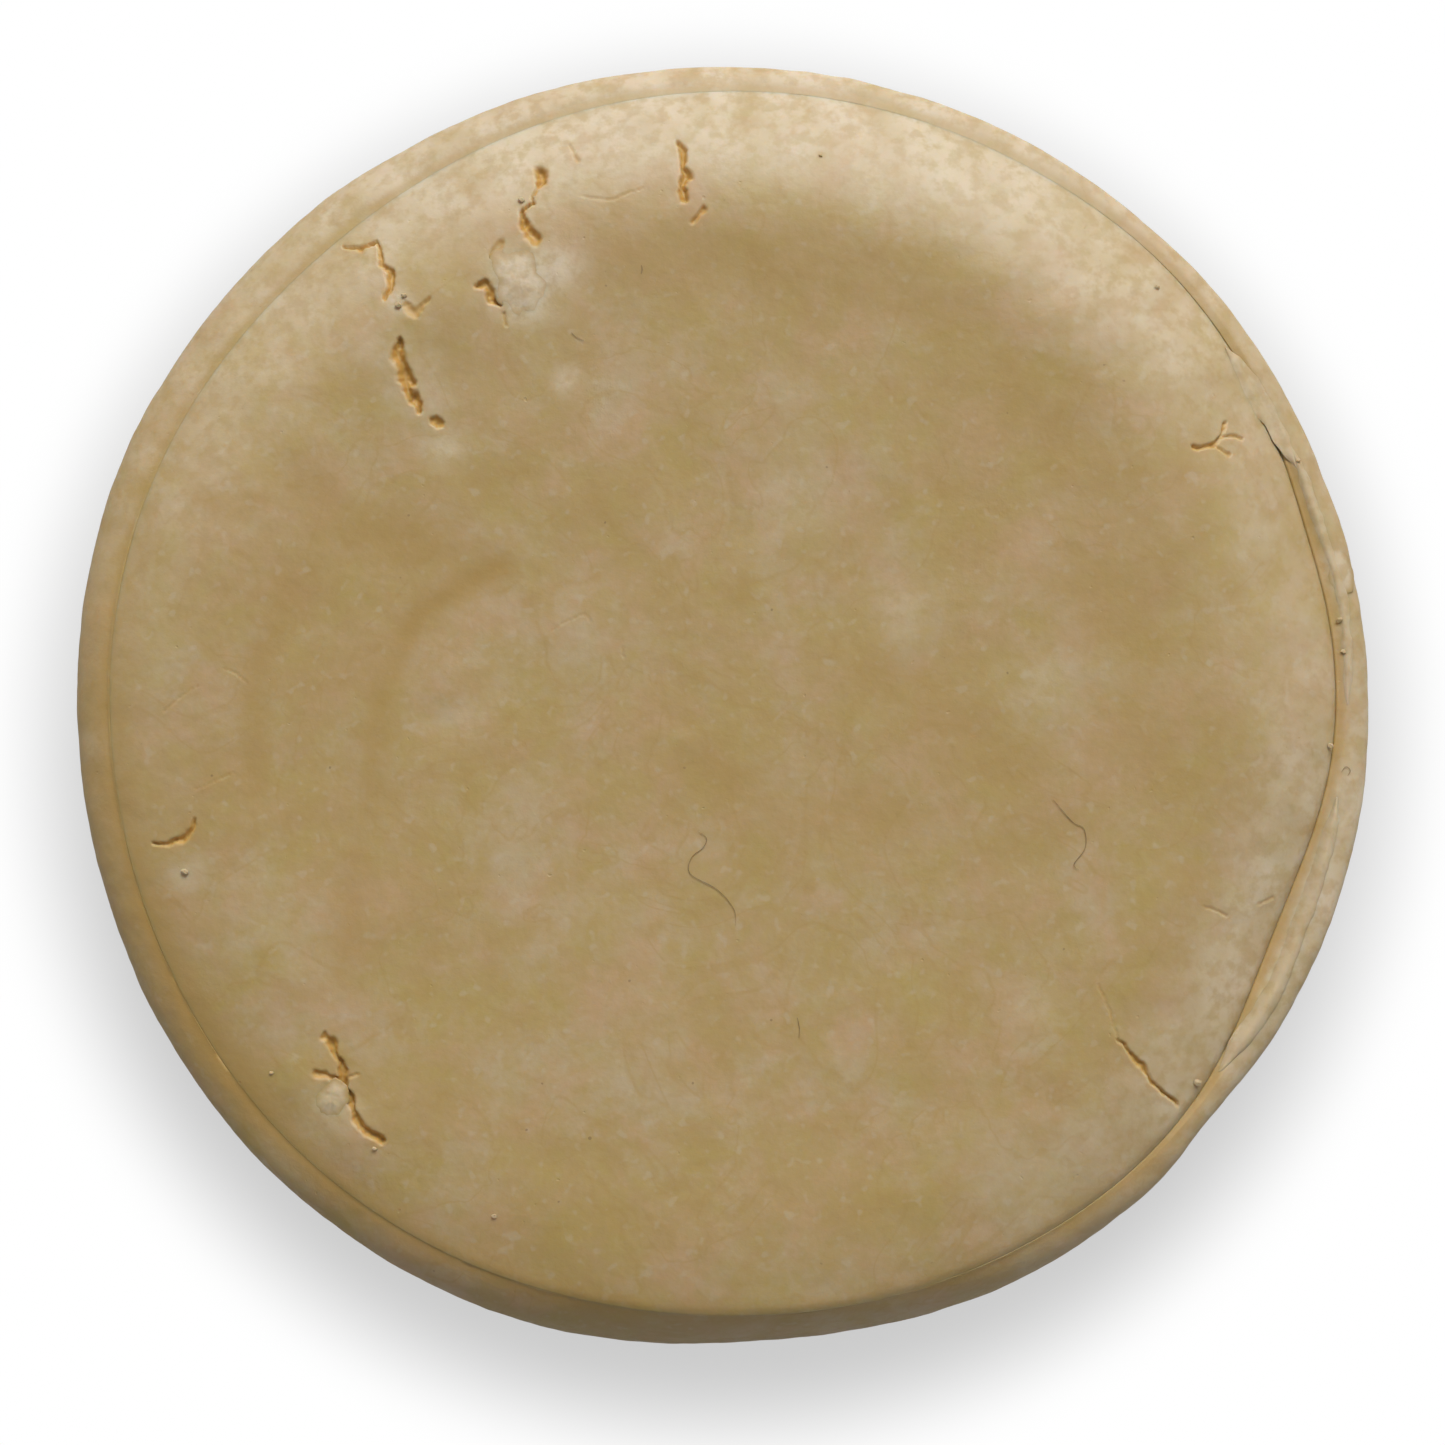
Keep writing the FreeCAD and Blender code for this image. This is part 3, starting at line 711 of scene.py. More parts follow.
def rim_section(puck, angle):
    """The base layer's section at each heading, from the foot up over the rim to the recess."""
    outer, edge = puck.outline(angle), puck.edge(angle)
    crest, ledge, groove = puck.crest(angle), puck.ledge(angle), puck.groove(angle)
    crest_radius = edge + around(angle, SEAM_LIP, SEAM_LIP_SWELLS)
    foot = outer - WALL_DRAFT
    rows = []
    for share in (0.3, 0.62, 0.85, 0.95):
        rows.append(((foot - FOOT_ROUND) * share, 0.0 * crest))
    for turn in np.radians(np.linspace(0.0, 90.0, 8)):
        height = FOOT_ROUND * (1.0 - np.cos(turn)) + 0.0 * crest
        rows.append((foot - FOOT_ROUND * (1.0 - np.sin(turn)), height))
    first = puck.rim_slope(angle)
    turning = (outer - crest_radius) / (1.0 - np.sin(first))
    falling = turning * around(angle, RIM_FALL, RIM_FALL_SWELLS)
    wall_top = crest - falling * np.cos(first)
    for share in np.linspace(0.0, 1.0, WALL_ROWS + 1)[1:]:
        rows.append((foot + WALL_DRAFT * share, FOOT_ROUND + (wall_top - FOOT_ROUND) * share))
    for share in np.linspace(1.0, 0.0, RIM_ROWS + 1)[1:]:
        turn = first + (0.5 * math.pi - first) * share
        rows.append((crest_radius + turning * (np.sin(turn) - np.sin(first)),
                     crest - falling * (np.cos(first) - np.cos(turn))))
    gap = edge + 0.1 * puck.open_share(angle)
    for share in np.linspace(0.0, 1.0, FLANK_ROWS + 1)[1:]:
        dip = share + (step(share, 0.0, 1.0) - share) * puck.open_share(angle)
        rows.append((crest_radius + (gap - crest_radius) * share, crest + (ledge - crest) * dip))
    rows.append((edge - 0.01, groove + 0.0 * crest))
    for share in (0.35, 1.0):
        rows.append((edge - 0.1 - 0.05 * share, groove - 0.08 + (puck.seat - groove) * share))
    rows.append((edge - 1.6, puck.seat + 0.0 * crest))
    rows.append((edge * 0.5, puck.seat + 0.0 * crest))
    return rows


def base_layer_mesh(puck, count):
    """Points, faces and marks of the base layer."""
    headings = np.arange(count) * 360.0 / count
    rows = rim_section(puck, headings)
    points = np.concatenate([polar_points(radius, headings, height) for radius, height in rows])
    angle = heading_of(points[:, 0], points[:, 1])
    radius = np.hypot(points[:, 0], points[:, 1])
    out = step(radius, 30.0, 33.0)
    high = step(points[:, 2], 0.3, 2.0)
    beside = puck.edge(angle)
    on_wall = points[:, 2] < puck.crest(angle) - 3.0
    off_seam = np.maximum(step(radius, beside + 0.1, beside + 1.0), on_wall)
    drag = points * np.array([1.0, 1.0, 0.16])
    swell = 0.09 * grain(points, 9.0, 3, 11.0) + 0.03 * grain(points, 2.4, 3, 12.0)
    swell = swell + 0.025 * grain(drag, 1.3, 3, 13.0)
    hidden = points[:, 2] < puck.groove(angle) - 0.05
    inside = hidden & (radius < puck.edge(angle) + 0.1)
    swell = np.where(inside, 0.0, swell * out * high * off_seam)
    for heading, height, wide, tall, deep in WALL_MARKS:
        off = (angle - heading + 180.0) % 360.0 - 180.0
        away = (off / wide) ** 2 + ((points[:, 2] - height) / tall) ** 2
        swell = swell - deep * np.exp(-away) * out
    points = points + polar_points(swell, angle, 0.0 * angle)
    flat = flat_points(points[:, 0], points[:, 1])
    rim_top = step(points[:, 2], puck.crest(angle) - 3.0, puck.crest(angle) - 1.0) * ~inside
    points[:, 2] += rim_top * (relief(flat, 1.0) + 0.05 * off_seam * grain(flat, 2.0, 3, 14.0))
    faces = ring_faces(len(rows), count)
    low, high_end = len(points), len(points) + 1
    points = np.concatenate([points, [[0.0, 0.0, 0.0], [0.0, 0.0, puck.seat]]])
    last = (len(rows) - 1) * count
    for i in range(count):
        j = (i + 1) % count
        faces.append((j, i, low))
        faces.append((last + i, last + j, high_end))
    return points, faces, base_layer_marks(puck, points)


def base_layer_marks(puck, points):
    """Orange in the groove as painted shade and glow of light through the soap, pale dry soap on the rim
    with a painted sheen and painted light, and painted shade browning the rim towards the left.
    """
    x, y, z = points.T
    angle, distance = heading_of(x, y), np.hypot(x, y)
    flat = flat_points(x, y)
    high = step(z, puck.rim - 4.0, puck.rim - 1.5)
    past_seam = distance - puck.edge(angle)
    groove = np.exp(-((past_seam - 0.1) / 0.5) ** 2) * high
    # Pale dry soap on the rim with a painted sheen and painted light where the key light and the light
    # from the right fall.
    dry_and_sheen = dry_and_sheen_share(angle, high * (0.35 + 0.65 * step(past_seam, 0.2, 0.7)), flat)
    bloom_and_sheen = np.maximum(spots(x, y, RIM_BLOOMS) * high, dry_and_sheen)
    # Painted shade: the rim browned at the left, away from the key light, and along the seam.
    rim_shade = around(angle, 0.0, RIM_SHADE_SWELLS)
    amber = high * np.maximum(rim_shade, puck.seam_amber_shade(angle, distance))
    # Painted shade and glow: the groove painted orange, more where the seam is open and on the lower left.
    glow_and_shade = around(angle, GROOVE_GLOW_SHADE, GROOVE_GLOW_SHADE_SWELLS) + OPEN_GLOW_SHADE * puck.open_share(angle)
    return {"crack": glow_and_shade * groove, "bloom_and_sheen": np.clip(bloom_and_sheen, 0.0, 1.0), "amber": amber}


def surface_height(puck, x, y, bridge=0.2):
    """Height of the puck's upper side, carried evenly over the seam a bridge's length to both sides."""
    angle, distance = heading_of(x, y), np.hypot(x, y)
    form, edge = TopLayerForm(puck, angle), puck.edge(angle)
    _, top, _ = form.place(np.minimum(distance, np.minimum(edge - bridge, form.start + 0.3)))
    rim = rim_height_at(puck, angle, np.maximum(distance, edge + bridge))
    flat = flat_points(x, y)
    return relief(flat, 1.0) + top + (rim - top) * step(distance, edge - bridge, edge + bridge)


def rim_height_at(puck, angle, distance):
    """Height of the base layer's upper side outside the top layer."""
    rows = rim_section(puck, angle)
    upper = rows[-(RIM_ROWS + FLANK_ROWS + 4):-4]
    radii = np.stack([row[0] for row in upper])
    heights = np.stack([row[1] for row in upper])
    found = np.empty_like(distance)
    for i in range(len(distance)):
        found[i] = np.interp(distance[i], radii[::-1, i], heights[::-1, i])
    return found


def lip_mesh(puck, height, ragged, bridge, middle, seed):
    """A ridge of squeezed soap lying in the groove along its middle's points."""
    share = np.linspace(0.0, 1.0, LIP_STEPS)
    at, out, half_width = np.array(middle).T
    headings = at[0] + (at[-1] - at[0]) * share
    line = np.stack([headings * 0.58, np.zeros(LIP_STEPS), np.zeros(LIP_STEPS)], axis=1)
    taper = np.minimum(1.0, np.minimum(share, 1.0 - share) * 9.0) ** 0.6
    rough = 1.0 + ragged * grain(line, 0.9, 3, seed)
    wide = np.interp(headings, at, half_width) * rough * taper + 0.02
    tall = height * taper * (1.0 + 1.5 * ragged * grain(line, 1.3, 3, seed + 1.0)) + 0.02
    radius = puck.edge(headings) + np.interp(headings, at, out)
    radius = radius + 0.25 * ragged * grain(line, 1.6, 3, seed + 2.0)
    points = []
    for turn in np.radians(np.linspace(0.0, 360.0, LIP_ROUND, endpoint=False)):
        reach = radius + wide * np.cos(turn)
        x, y = reach * np.cos(np.radians(headings)), reach * np.sin(np.radians(headings))
        bed = surface_height(puck, x, y, bridge)
        rise = np.where(np.sin(turn) > 0.0, np.abs(np.sin(turn)) ** 2.4 * tall, -0.06) - 0.012
        points.append(np.stack([x, y, bed + rise], axis=1))
    points = np.stack(points, axis=1).reshape(-1, 3)
    points[:, 2] += 0.012 * grain(points, 0.6, 3, seed + 3.0)
    faces = [tuple(reversed(face)) for face in ring_faces(LIP_STEPS, LIP_ROUND)]
    faces.append(tuple(range(LIP_ROUND)))
    faces.append(tuple(reversed(range((LIP_STEPS - 1) * LIP_ROUND, LIP_STEPS * LIP_ROUND))))
    return points, faces


def lump_mesh(puck, x, y, half_length, half_width, turn, thickness, ragged, paleness, seed):
    """A flat ragged lump that follows the surface under it and fades out at its edge."""
    rings, count = LUMP_STEPS
    angles = np.radians(np.arange(count) * 360.0 / count)
    circle = np.stack([np.cos(angles), np.sin(angles), np.zeros(count)], axis=1)
    outline = 1.0 + ragged * grain(circle, 0.8, 4, seed)
    cos, sin = math.cos(math.radians(turn)), math.sin(math.radians(turn))
    rows = []
    shares = [1.0] + list(np.linspace(1.0, 0.0, rings + 1))
    for share in shares:
        u = half_length * share * outline * np.cos(angles)
        v = half_width * share * outline * np.sin(angles)
        px, py = x + u * cos - v * sin, y + u * sin + v * cos
        flat = flat_points(px, py)
        rough = 0.9 + 0.5 * grain(flat, 0.8, 3, seed + 1.0)
        rise = thickness * (1.0 - share ** 2) ** 1.6 * rough - 0.008
        rows.append(np.stack([px, py, surface_height(puck, px, py) + rise], axis=1))
    rows[0][:, 2] -= 0.1
    centre = rows.pop()[:1]
    points = np.concatenate(rows + [centre, centre - [[0.0, 0.0, thickness + 0.1]]])
    faces = ring_faces(len(rows), count)
    top, low, last = len(points) - 2, len(points) - 1, (len(rows) - 1) * count
    for i in range(count):
        j = (i + 1) % count
        faces.append((last + i, last + j, top))
        faces.append((j, i, low))
    inward = 1.0 - np.repeat(shares[:-1], count)
    bloom_and_sheen = step(np.append(inward, [1.0, 0.0]), 0.0, 0.45)
    return points, faces, {"bloom_and_sheen": paleness * bloom_and_sheen}


def crumb_points(seed):
    """A unit ball broken into an angular crumb: its points and faces."""
    steps, count = 10, 16
    points = [(0.0, 0.0, -1.0)]
    for row in range(1, steps):
        up = -math.cos(math.pi * row / steps)
        out = math.sin(math.pi * row / steps)
        for i in range(count):
            around_it = 2.0 * math.pi * i / count
            points.append((out * math.cos(around_it), out * math.sin(around_it), up))
    points.append((0.0, 0.0, 1.0))
    points = np.array(points)
    random = np.random.default_rng(seed)
    size = np.ones(len(points))
    for _ in range(9):
        facing = random.normal(size=3)
        facing /= np.linalg.norm(facing)
        cut = random.uniform(0.55, 0.8)
        towards = points @ facing
        size = np.minimum(size, np.where(towards > 1e-6, cut / np.maximum(towards, 1e-6), 9.0))
    points = points * size[:, None]
    points = points * (1.0 + 0.18 * grain(points, 0.5, 3, seed))[:, None]
    faces = [(0, 1 + (i + 1) % count, 1 + i) for i in range(count)]
    for row in range(steps - 2):
        for i in range(count):
            a, b = 1 + row * count + i, 1 + row * count + (i + 1) % count
            faces.append((a, b, b + count, a + count))
    last = 1 + (steps - 2) * count
    faces.extend((last + i, last + (i + 1) % count, len(points) - 1) for i in range(count))
    return points, faces


def hair_mesh(puck, points, thickness):
    """A fine bent hair lying on the face, as a tapered tube along a smooth line."""
    places = np.array(points)
    dense = []
    count = len(places)
    for i in range(count - 1):
        before, after = places[max(i - 1, 0)], places[min(i + 2, count - 1)]
        for t in np.linspace(0.0, 1.0, HAIR_STEPS, endpoint=False):
            a, b = places[i], places[i + 1]
            dense.append(0.5 * (2 * a + (b - before) * t + (2 * before - 5 * a + 4 * b - after) * t ** 2
                                + (3 * a - before - 3 * b + after) * t ** 3))
    dense.append(places[-1])
    dense = np.array(dense)
    z = surface_height(puck, dense[:, 0], dense[:, 1]) + 0.5 * thickness + 0.05
    line = np.column_stack([dense, z])
    ahead = np.gradient(line, axis=0)
    ahead /= np.linalg.norm(ahead, axis=1)[:, None]
    side = np.cross(ahead, [0.0, 0.0, 1.0])
    side /= np.linalg.norm(side, axis=1)[:, None]
    up = np.cross(side, ahead)
    thin = thickness / 2.0 * np.interp(np.linspace(0, 1, len(line)), (0, 0.15, 0.8, 1), (0.4, 1, 0.9, 0.3))
    rings = []
    for turn in np.radians(np.arange(HAIR_ROUND) * 360.0 / HAIR_ROUND):
        rings.append(line + (side * np.cos(turn) + up * np.sin(turn)) * thin[:, None])
    verts = np.stack(rings, axis=1).reshape(-1, 3)
    faces = [tuple(reversed(face)) for face in ring_faces(len(line), HAIR_ROUND)]
    faces.append(tuple(range(HAIR_ROUND)))
    faces.append(tuple(reversed(range((len(line) - 1) * HAIR_ROUND, len(line) * HAIR_ROUND))))
    return verts, faces


# ---------------------------------------------------------------------------------------------
# Settings
# ---------------------------------------------------------------------------------------------

class PuckShape(bpy.types.PropertyGroup):
    face_height: bpy.props.FloatProperty(
        name="Face Height", description="Height of the flat face above the foot", default=TOP_HIGH.z,
        unit="LENGTH")
    rim_height: bpy.props.FloatProperty(
        name="Rim Height", description="Mean height of the base layer's rim", default=0.0200,
        unit="LENGTH")
    seat_height: bpy.props.FloatProperty(
        name="Seat Height", description="Height of the recess that holds the top layer",
        default=TOP_LOW.z, unit="LENGTH")
    radius: bpy.props.FloatProperty(
        name="Radius", description="Radius of the base layer", default=0.0350, unit="LENGTH")
    rim_tilt: bpy.props.FloatProperty(
        name="Rim Tilt", description="How much higher the rim is at the lower left than the mean",
        default=0.0012, unit="LENGTH")
    fineness: bpy.props.FloatProperty(
        name="Fineness", description="Distance between the top layer's points, as a share of the usual",
        default=1.0, min=0.5, max=4.0)


def colour_setting(name, description, colour):
    return bpy.props.FloatVectorProperty(
        name=name, description=description, default=colour, size=4, subtype="COLOR", min=0.0, max=1.0)


class PuckFinish(bpy.types.PropertyGroup):
    tan: colour_setting("Tan", "Main colour of the soap", (0.348, 0.245, 0.102, 1.0))
    olive: colour_setting("Olive", "The yellower clouds in the soap", (0.336, 0.244, 0.080, 1.0))
    rosy: colour_setting("Rosy", "The pinker clouds in the soap", (0.378, 0.254, 0.128, 1.0))
    amber: colour_setting("Amber", "The clearer, browner clouds in the soap", (0.315, 0.202, 0.060, 1.0))
    pale: colour_setting("Pale", "The pale flecks and smears in the soap", (0.400, 0.325, 0.215, 1.0))
    # Dry patches, and also the painted sheen and painted light on the raised edges.
    bloom_and_sheen: colour_setting("Bloom", "Dry, dusty patches", (0.505, 0.420, 0.300, 1.0))
    # Orange in the cracks and the groove: painted shade and glow of light through the soap.
    crack: colour_setting("Crack", "Fresh soap inside the cracks and the seam", (0.440, 0.245, 0.055, 1.0))
    hair: colour_setting("Hair", "Stray bristle hairs", (0.150, 0.105, 0.050, 1.0))
    roughness: bpy.props.FloatProperty(
        name="Roughness", description="How dull the soap's skin is", default=0.5, min=0.0, max=1.0,
        subtype="FACTOR")


class StageSettings(bpy.types.PropertyGroup):
    key_heading: bpy.props.FloatProperty(
        name="Key Heading", description="Where the key light comes from, round from +X",
        default=math.radians(80.0), subtype="ANGLE")
    key_height: bpy.props.FloatProperty(
        name="Key Height", description="How high the key light stands", default=math.radians(42.0),
        subtype="ANGLE")
    key_strength: bpy.props.FloatProperty(
        name="Key Strength", description="Strength of the key light", default=3.3)
    key_spread: bpy.props.FloatProperty(
        name="Key Spread", description="How wide the key light looks", default=math.radians(28.0),
        subtype="ANGLE")
    ambient: bpy.props.FloatProperty(
        name="Ambient", description="Strength of the light all round", default=0.47)
    lean: bpy.props.FloatProperty(
        name="Lean", description="How much the light all round leans towards the key light", default=0.65,
        min=0.0, max=1.0, subtype="FACTOR")
    floor_size: bpy.props.FloatProperty(
        name="Floor Size", description="Radius of the floor", default=1.5, unit="LENGTH")
    camera_height: bpy.props.FloatProperty(
        name="Camera Height", description="Height of the camera above the face", default=0.2137,
        unit="LENGTH")
    camera_lens: bpy.props.FloatProperty(
        name="Camera Lens", description="Focal length in millimetres", default=100.0)


# ---------------------------------------------------------------------------------------------
# Material nodes
# ---------------------------------------------------------------------------------------------

def add_node(tree, kind, inputs=None, **settings):
    """Add a node, set its properties, and give its inputs values or links."""
    node = tree.nodes.new(kind)
    for name, value in settings.items():
        setattr(node, name, value)
    for name, value in (inputs or {}).items():
        if isinstance(value, bpy.types.NodeSocket):
            tree.links.new(value, node.inputs[name])
        else:
            node.inputs[name].default_value = value
    return node


def calculate(tree, operation, first, second):
    return add_node(tree, "ShaderNodeMath", {0: first, 1: second}, operation=operation).outputs[0]


def remap(tree, value, low, high, to_low=0.0, to_high=1.0, way="SMOOTHSTEP"):
    """Move a value smoothly from one range to another and hold it there."""
    inputs = {"Value": value, "From Min": low, "From Max": high, "To Min": to_low, "To Max": to_high}
    return add_node(tree, "ShaderNodeMapRange", inputs, interpolation_type=way).outputs["Result"]


def mix_colours(tree, factor, first, second):
    inputs = {0: factor, 6: first, 7: second}
    return add_node(tree, "ShaderNodeMix", inputs, data_type="RGBA").outputs[2]


def ramp(tree, value, low, high):
    """How far a value is from low to high, evenly, from nought to one."""
    return remap(tree, value, low, high, way="LINEAR")


def noise_mask(tree, place, size, detail=2.0, roughness=0.5, distortion=0.0):
    """Noise with features about size across, in the units of place."""
    inputs = {"Vector": place, "Scale": 1.0 / size, "Detail": detail, "Roughness": roughness,
              "Distortion": distortion}
    return add_node(tree, "ShaderNodeTexNoise", inputs).outputs["Fac"]


def millimetres(tree, shift=(0.0, 0.0, 0.0)):
    """Place on the object in millimetres, shifted so that no two patterns line up."""
    place = add_node(tree, "ShaderNodeTexCoord").outputs["Object"]
    inputs = {0: place, 1: (1.0 / MM,) * 3, 2: shift}
    return add_node(tree, "ShaderNodeVectorMath", inputs, operation="MULTIPLY_ADD").outputs[0]


def new_group(name, inputs, outputs):
    """A shader node group with the sockets named, and its input and output nodes."""
    group = bpy.data.node_groups.new(name, "ShaderNodeTree")
    for label, kind in inputs:
        group.interface.new_socket(name=label, in_out="INPUT", socket_type=kind)
    for label, kind in outputs:
        group.interface.new_socket(name=label, in_out="OUTPUT", socket_type=kind)
    return group, group.nodes.new("NodeGroupInput"), group.nodes.new("NodeGroupOutput")


def marbling_group():
    """Clouds, smears and flecks of milled soap, as a colour."""
    name = "soap_marbling"
    if name in bpy.data.node_groups:
        return bpy.data.node_groups[name]
    colours = [(label, "NodeSocketColor") for label in ("Tan", "Olive", "Rosy", "Amber", "Pale")]
    group, given, result = new_group(name, colours, [("Color", "NodeSocketColor")])
    clouds = noise_mask(group, millimetres(group, (3.0, 7.0, 1.0)), 11.0, 5.0, 0.85, 0.2)
    smears = noise_mask(group, millimetres(group, (13.0, 37.0, 4.0)), 2.2, 3.0, 0.6, 0.7)
    hues = noise_mask(group, millimetres(group, (31.0, 5.0, 9.0)), 4.0, 4.0, 0.75, 0.3)
    veins = noise_mask(group, millimetres(group, (71.0, 15.0, 22.0)), 9.0, 3.0, 0.55, 1.2)
    flecks = noise_mask(group, millimetres(group, (8.0, 19.0, 41.0)), 0.7, 1.0, 0.5)
    grains = noise_mask(group, millimetres(group, (27.0, 2.0, 33.0)), 0.25, 2.0, 0.6)
    pins = noise_mask(group, millimetres(group, (51.0, 43.0, 12.0)), 0.42, 0.0)
    tint = mix_colours(group, ramp(group, hues, 0.34, 0.50), given.outputs["Olive"], given.outputs["Tan"])
    tint = mix_colours(group, ramp(group, hues, 0.50, 0.66), tint, given.outputs["Rosy"])
    paleness = calculate(group, "MULTIPLY", clouds, 0.85)
    paleness = calculate(group, "ADD", paleness, calculate(group, "MULTIPLY", smears, 0.4))
    paleness = calculate(group, "ADD", paleness, calculate(group, "MULTIPLY", grains, 0.08))
    base = mix_colours(group, ramp(group, paleness, 0.345, 0.665), given.outputs["Amber"], tint)
    base = mix_colours(group, ramp(group, paleness, 0.665, 1.02), base, given.outputs["Pale"])
    off_vein = calculate(group, "ABSOLUTE", calculate(group, "SUBTRACT", veins, 0.5), 0.0)
    base = mix_colours(group, remap(group, off_vein, 0.0, 0.02, 0.35, 0.0), base, given.outputs["Amber"])
    base = mix_colours(group, remap(group, flecks, 0.60, 0.76, 0.0, 0.4), base, given.outputs["Pale"])
    base = mix_colours(group, remap(group, pins, 0.87, 0.93, 0.0, 0.5), base, (0.12, 0.07, 0.03, 1.0))
    group.links.new(base, result.inputs["Color"])
    return group


def skin_group():
    """The fine relief of the soap's skin, in millimetres."""
    name = "soap_skin"
    if name in bpy.data.node_groups:
        return bpy.data.node_groups[name]
    group, given, result = new_group(name, [("Coarse", "NodeSocketFloat"), ("Fine", "NodeSocketFloat")],
                                     [("Height", "NodeSocketFloat")])
    coarse = noise_mask(group, millimetres(group, (5.0, 23.0, 6.0)), 0.9, 3.0, 0.55)
    fine = noise_mask(group, millimetres(group, (17.0, 3.0, 29.0)), 0.2, 2.0, 0.6)
    pits = noise_mask(group, millimetres(group, (9.0, 47.0, 14.0)), 0.45, 1.0)
    height = calculate(group, "MULTIPLY", coarse, given.outputs["Coarse"])
    height = calculate(group, "ADD", height, calculate(group, "MULTIPLY", fine, given.outputs["Fine"]))
    height = calculate(group, "SUBTRACT", height, remap(group, pits, 0.76, 0.86, 0.0, 0.02))
    group.links.new(height, result.inputs["Height"])
    return group


def painted(tree, mark):
    """A mark painted on the mesh's points."""
    return add_node(tree, "ShaderNodeAttribute", attribute_name=mark).outputs["Fac"]


def soap_material(name, finish, coarse=0.035, fine=0.006, dryness=0.0, depth=SOAP_DEPTH):
    """Milled soap: marbled, waxy and a little see-through, painted orange in the cracks and the seam as
    painted shade and glow, and pale in dry patches that also carry a painted sheen.
    """
    if name in bpy.data.materials:
        return bpy.data.materials[name]
    material = bpy.data.materials.new(name)
    material.use_nodes = True
    tree = material.node_tree
    shader = tree.nodes["Principled BSDF"]
    marbling = add_node(tree, "ShaderNodeGroup", node_tree=marbling_group())
    for label in ("Tan", "Olive", "Rosy", "Amber", "Pale"):
        marbling.inputs[label].default_value = getattr(finish, label.lower())
    colour = marbling.outputs["Color"]
    # The amber mark: clearer streaks, and painted shade along the seam and the left rim.
    colour = mix_colours(tree, painted(tree, "amber"), colour, finish.amber)
    # The bloom and sheen mark: dry patches, and a painted sheen and painted light on the raised edges.
    bloom_and_sheen = painted(tree, "bloom_and_sheen")
    if dryness:
        bloom_and_sheen = calculate(tree, "MAXIMUM", bloom_and_sheen, dryness)
    patchy = noise_mask(tree, millimetres(tree, (2.0, 61.0, 7.0)), 0.9, 3.0, 0.6)
    bloom_and_sheen = calculate(tree, "MULTIPLY", bloom_and_sheen, remap(tree, patchy, 0.35, 0.6, 0.45, 1.0))
    colour = mix_colours(tree, bloom_and_sheen, colour, finish.bloom_and_sheen)
    # Cracks and groove painted orange: painted shade and glow of light through the soap.
    colour = mix_colours(tree, painted(tree, "crack"), colour, finish.crack)
    tree.links.new(colour, shader.inputs["Base Color"])
    roughness = calculate(tree, "ADD", finish.roughness, calculate(tree, "MULTIPLY", bloom_and_sheen, 0.2))
    tree.links.new(roughness, shader.inputs["Roughness"])
    skin = add_node(tree, "ShaderNodeGroup", {"Coarse": coarse, "Fine": fine}, node_tree=skin_group())
    relief_inputs = {"Height": skin.outputs["Height"], "Strength": 1.0, "Distance": MM}
    bump = add_node(tree, "ShaderNodeBump", relief_inputs)
    tree.links.new(bump.outputs["Normal"], shader.inputs["Normal"])
    shader.inputs["IOR"].default_value = 1.46
    shader.inputs["Subsurface Weight"].default_value = 0.6
    shader.inputs["Subsurface Radius"].default_value = (1.0, 0.5, 0.22)
    shader.inputs["Subsurface Scale"].default_value = depth * MM
    return material


def hair_material(finish):
    """Thin brown bristle, glossy and a little uneven along its length."""
    name = "bristle_hair"
    if name in bpy.data.materials:
        return bpy.data.materials[name]
    material = bpy.data.materials.new(name)
    material.use_nodes = True
    tree = material.node_tree
    shader = tree.nodes["Principled BSDF"]
    uneven = noise_mask(tree, millimetres(tree), 0.6, 2.0)
    colour = mix_colours(tree, remap(tree, uneven, 0.35, 0.65, 0.0, 0.5), finish.hair, finish.amber)
    tree.links.new(colour, shader.inputs["Base Color"])
    shader.inputs["Roughness"].default_value = 0.35
    return material


def floor_material(radius):
    """Matt white that the camera sees fade to pure white away from the puck, with a painted shadow: the
    glow dims next to the puck, more towards -Y.
    """
    material = bpy.data.materials.new("white_floor")
    material.use_nodes = True
    tree = material.node_tree
    tree.nodes.clear()
    place = add_node(tree, "ShaderNodeTexCoord").outputs["Object"]
    paper = noise_mask(tree, place, 0.004, 2.0)
    shade = remap(tree, paper, 0.3, 0.7, 0.44, 0.46)
    matt = add_node(tree, "ShaderNodeBsdfDiffuse", {"Color": shade}).outputs[0]
    # Painted shadow: the glow is dimmed near the puck, centred a little towards -Y so it is darker on that
    # side.
    shadow_shifted_place = add_node(tree, "ShaderNodeVectorMath", {0: place, 1: (0.0002, 0.0024, 0.0)}).outputs[0]
    away = add_node(tree, "ShaderNodeVectorMath", {0: shadow_shifted_place}, operation="LENGTH").outputs["Value"]
    away = calculate(tree, "DIVIDE", away, radius)
    painted_shadow_glow = remap(tree, away, 1.0, 1.24, 0.72, 1.0)
    glow = add_node(tree, "ShaderNodeEmission", {"Color": WHITE, "Strength": painted_shadow_glow}).outputs[0]
    seen = add_node(tree, "ShaderNodeLightPath").outputs["Is Camera Ray"]
    fade = calculate(tree, "MULTIPLY", remap(tree, away, 1.04, 1.28, 0.8, 1.0), seen)
    mixed = add_node(tree, "ShaderNodeMixShader", {0: fade, 1: matt, 2: glow}).outputs[0]
    output = add_node(tree, "ShaderNodeOutputMaterial", {"Surface": mixed})
    output.is_active_output = True
    return material


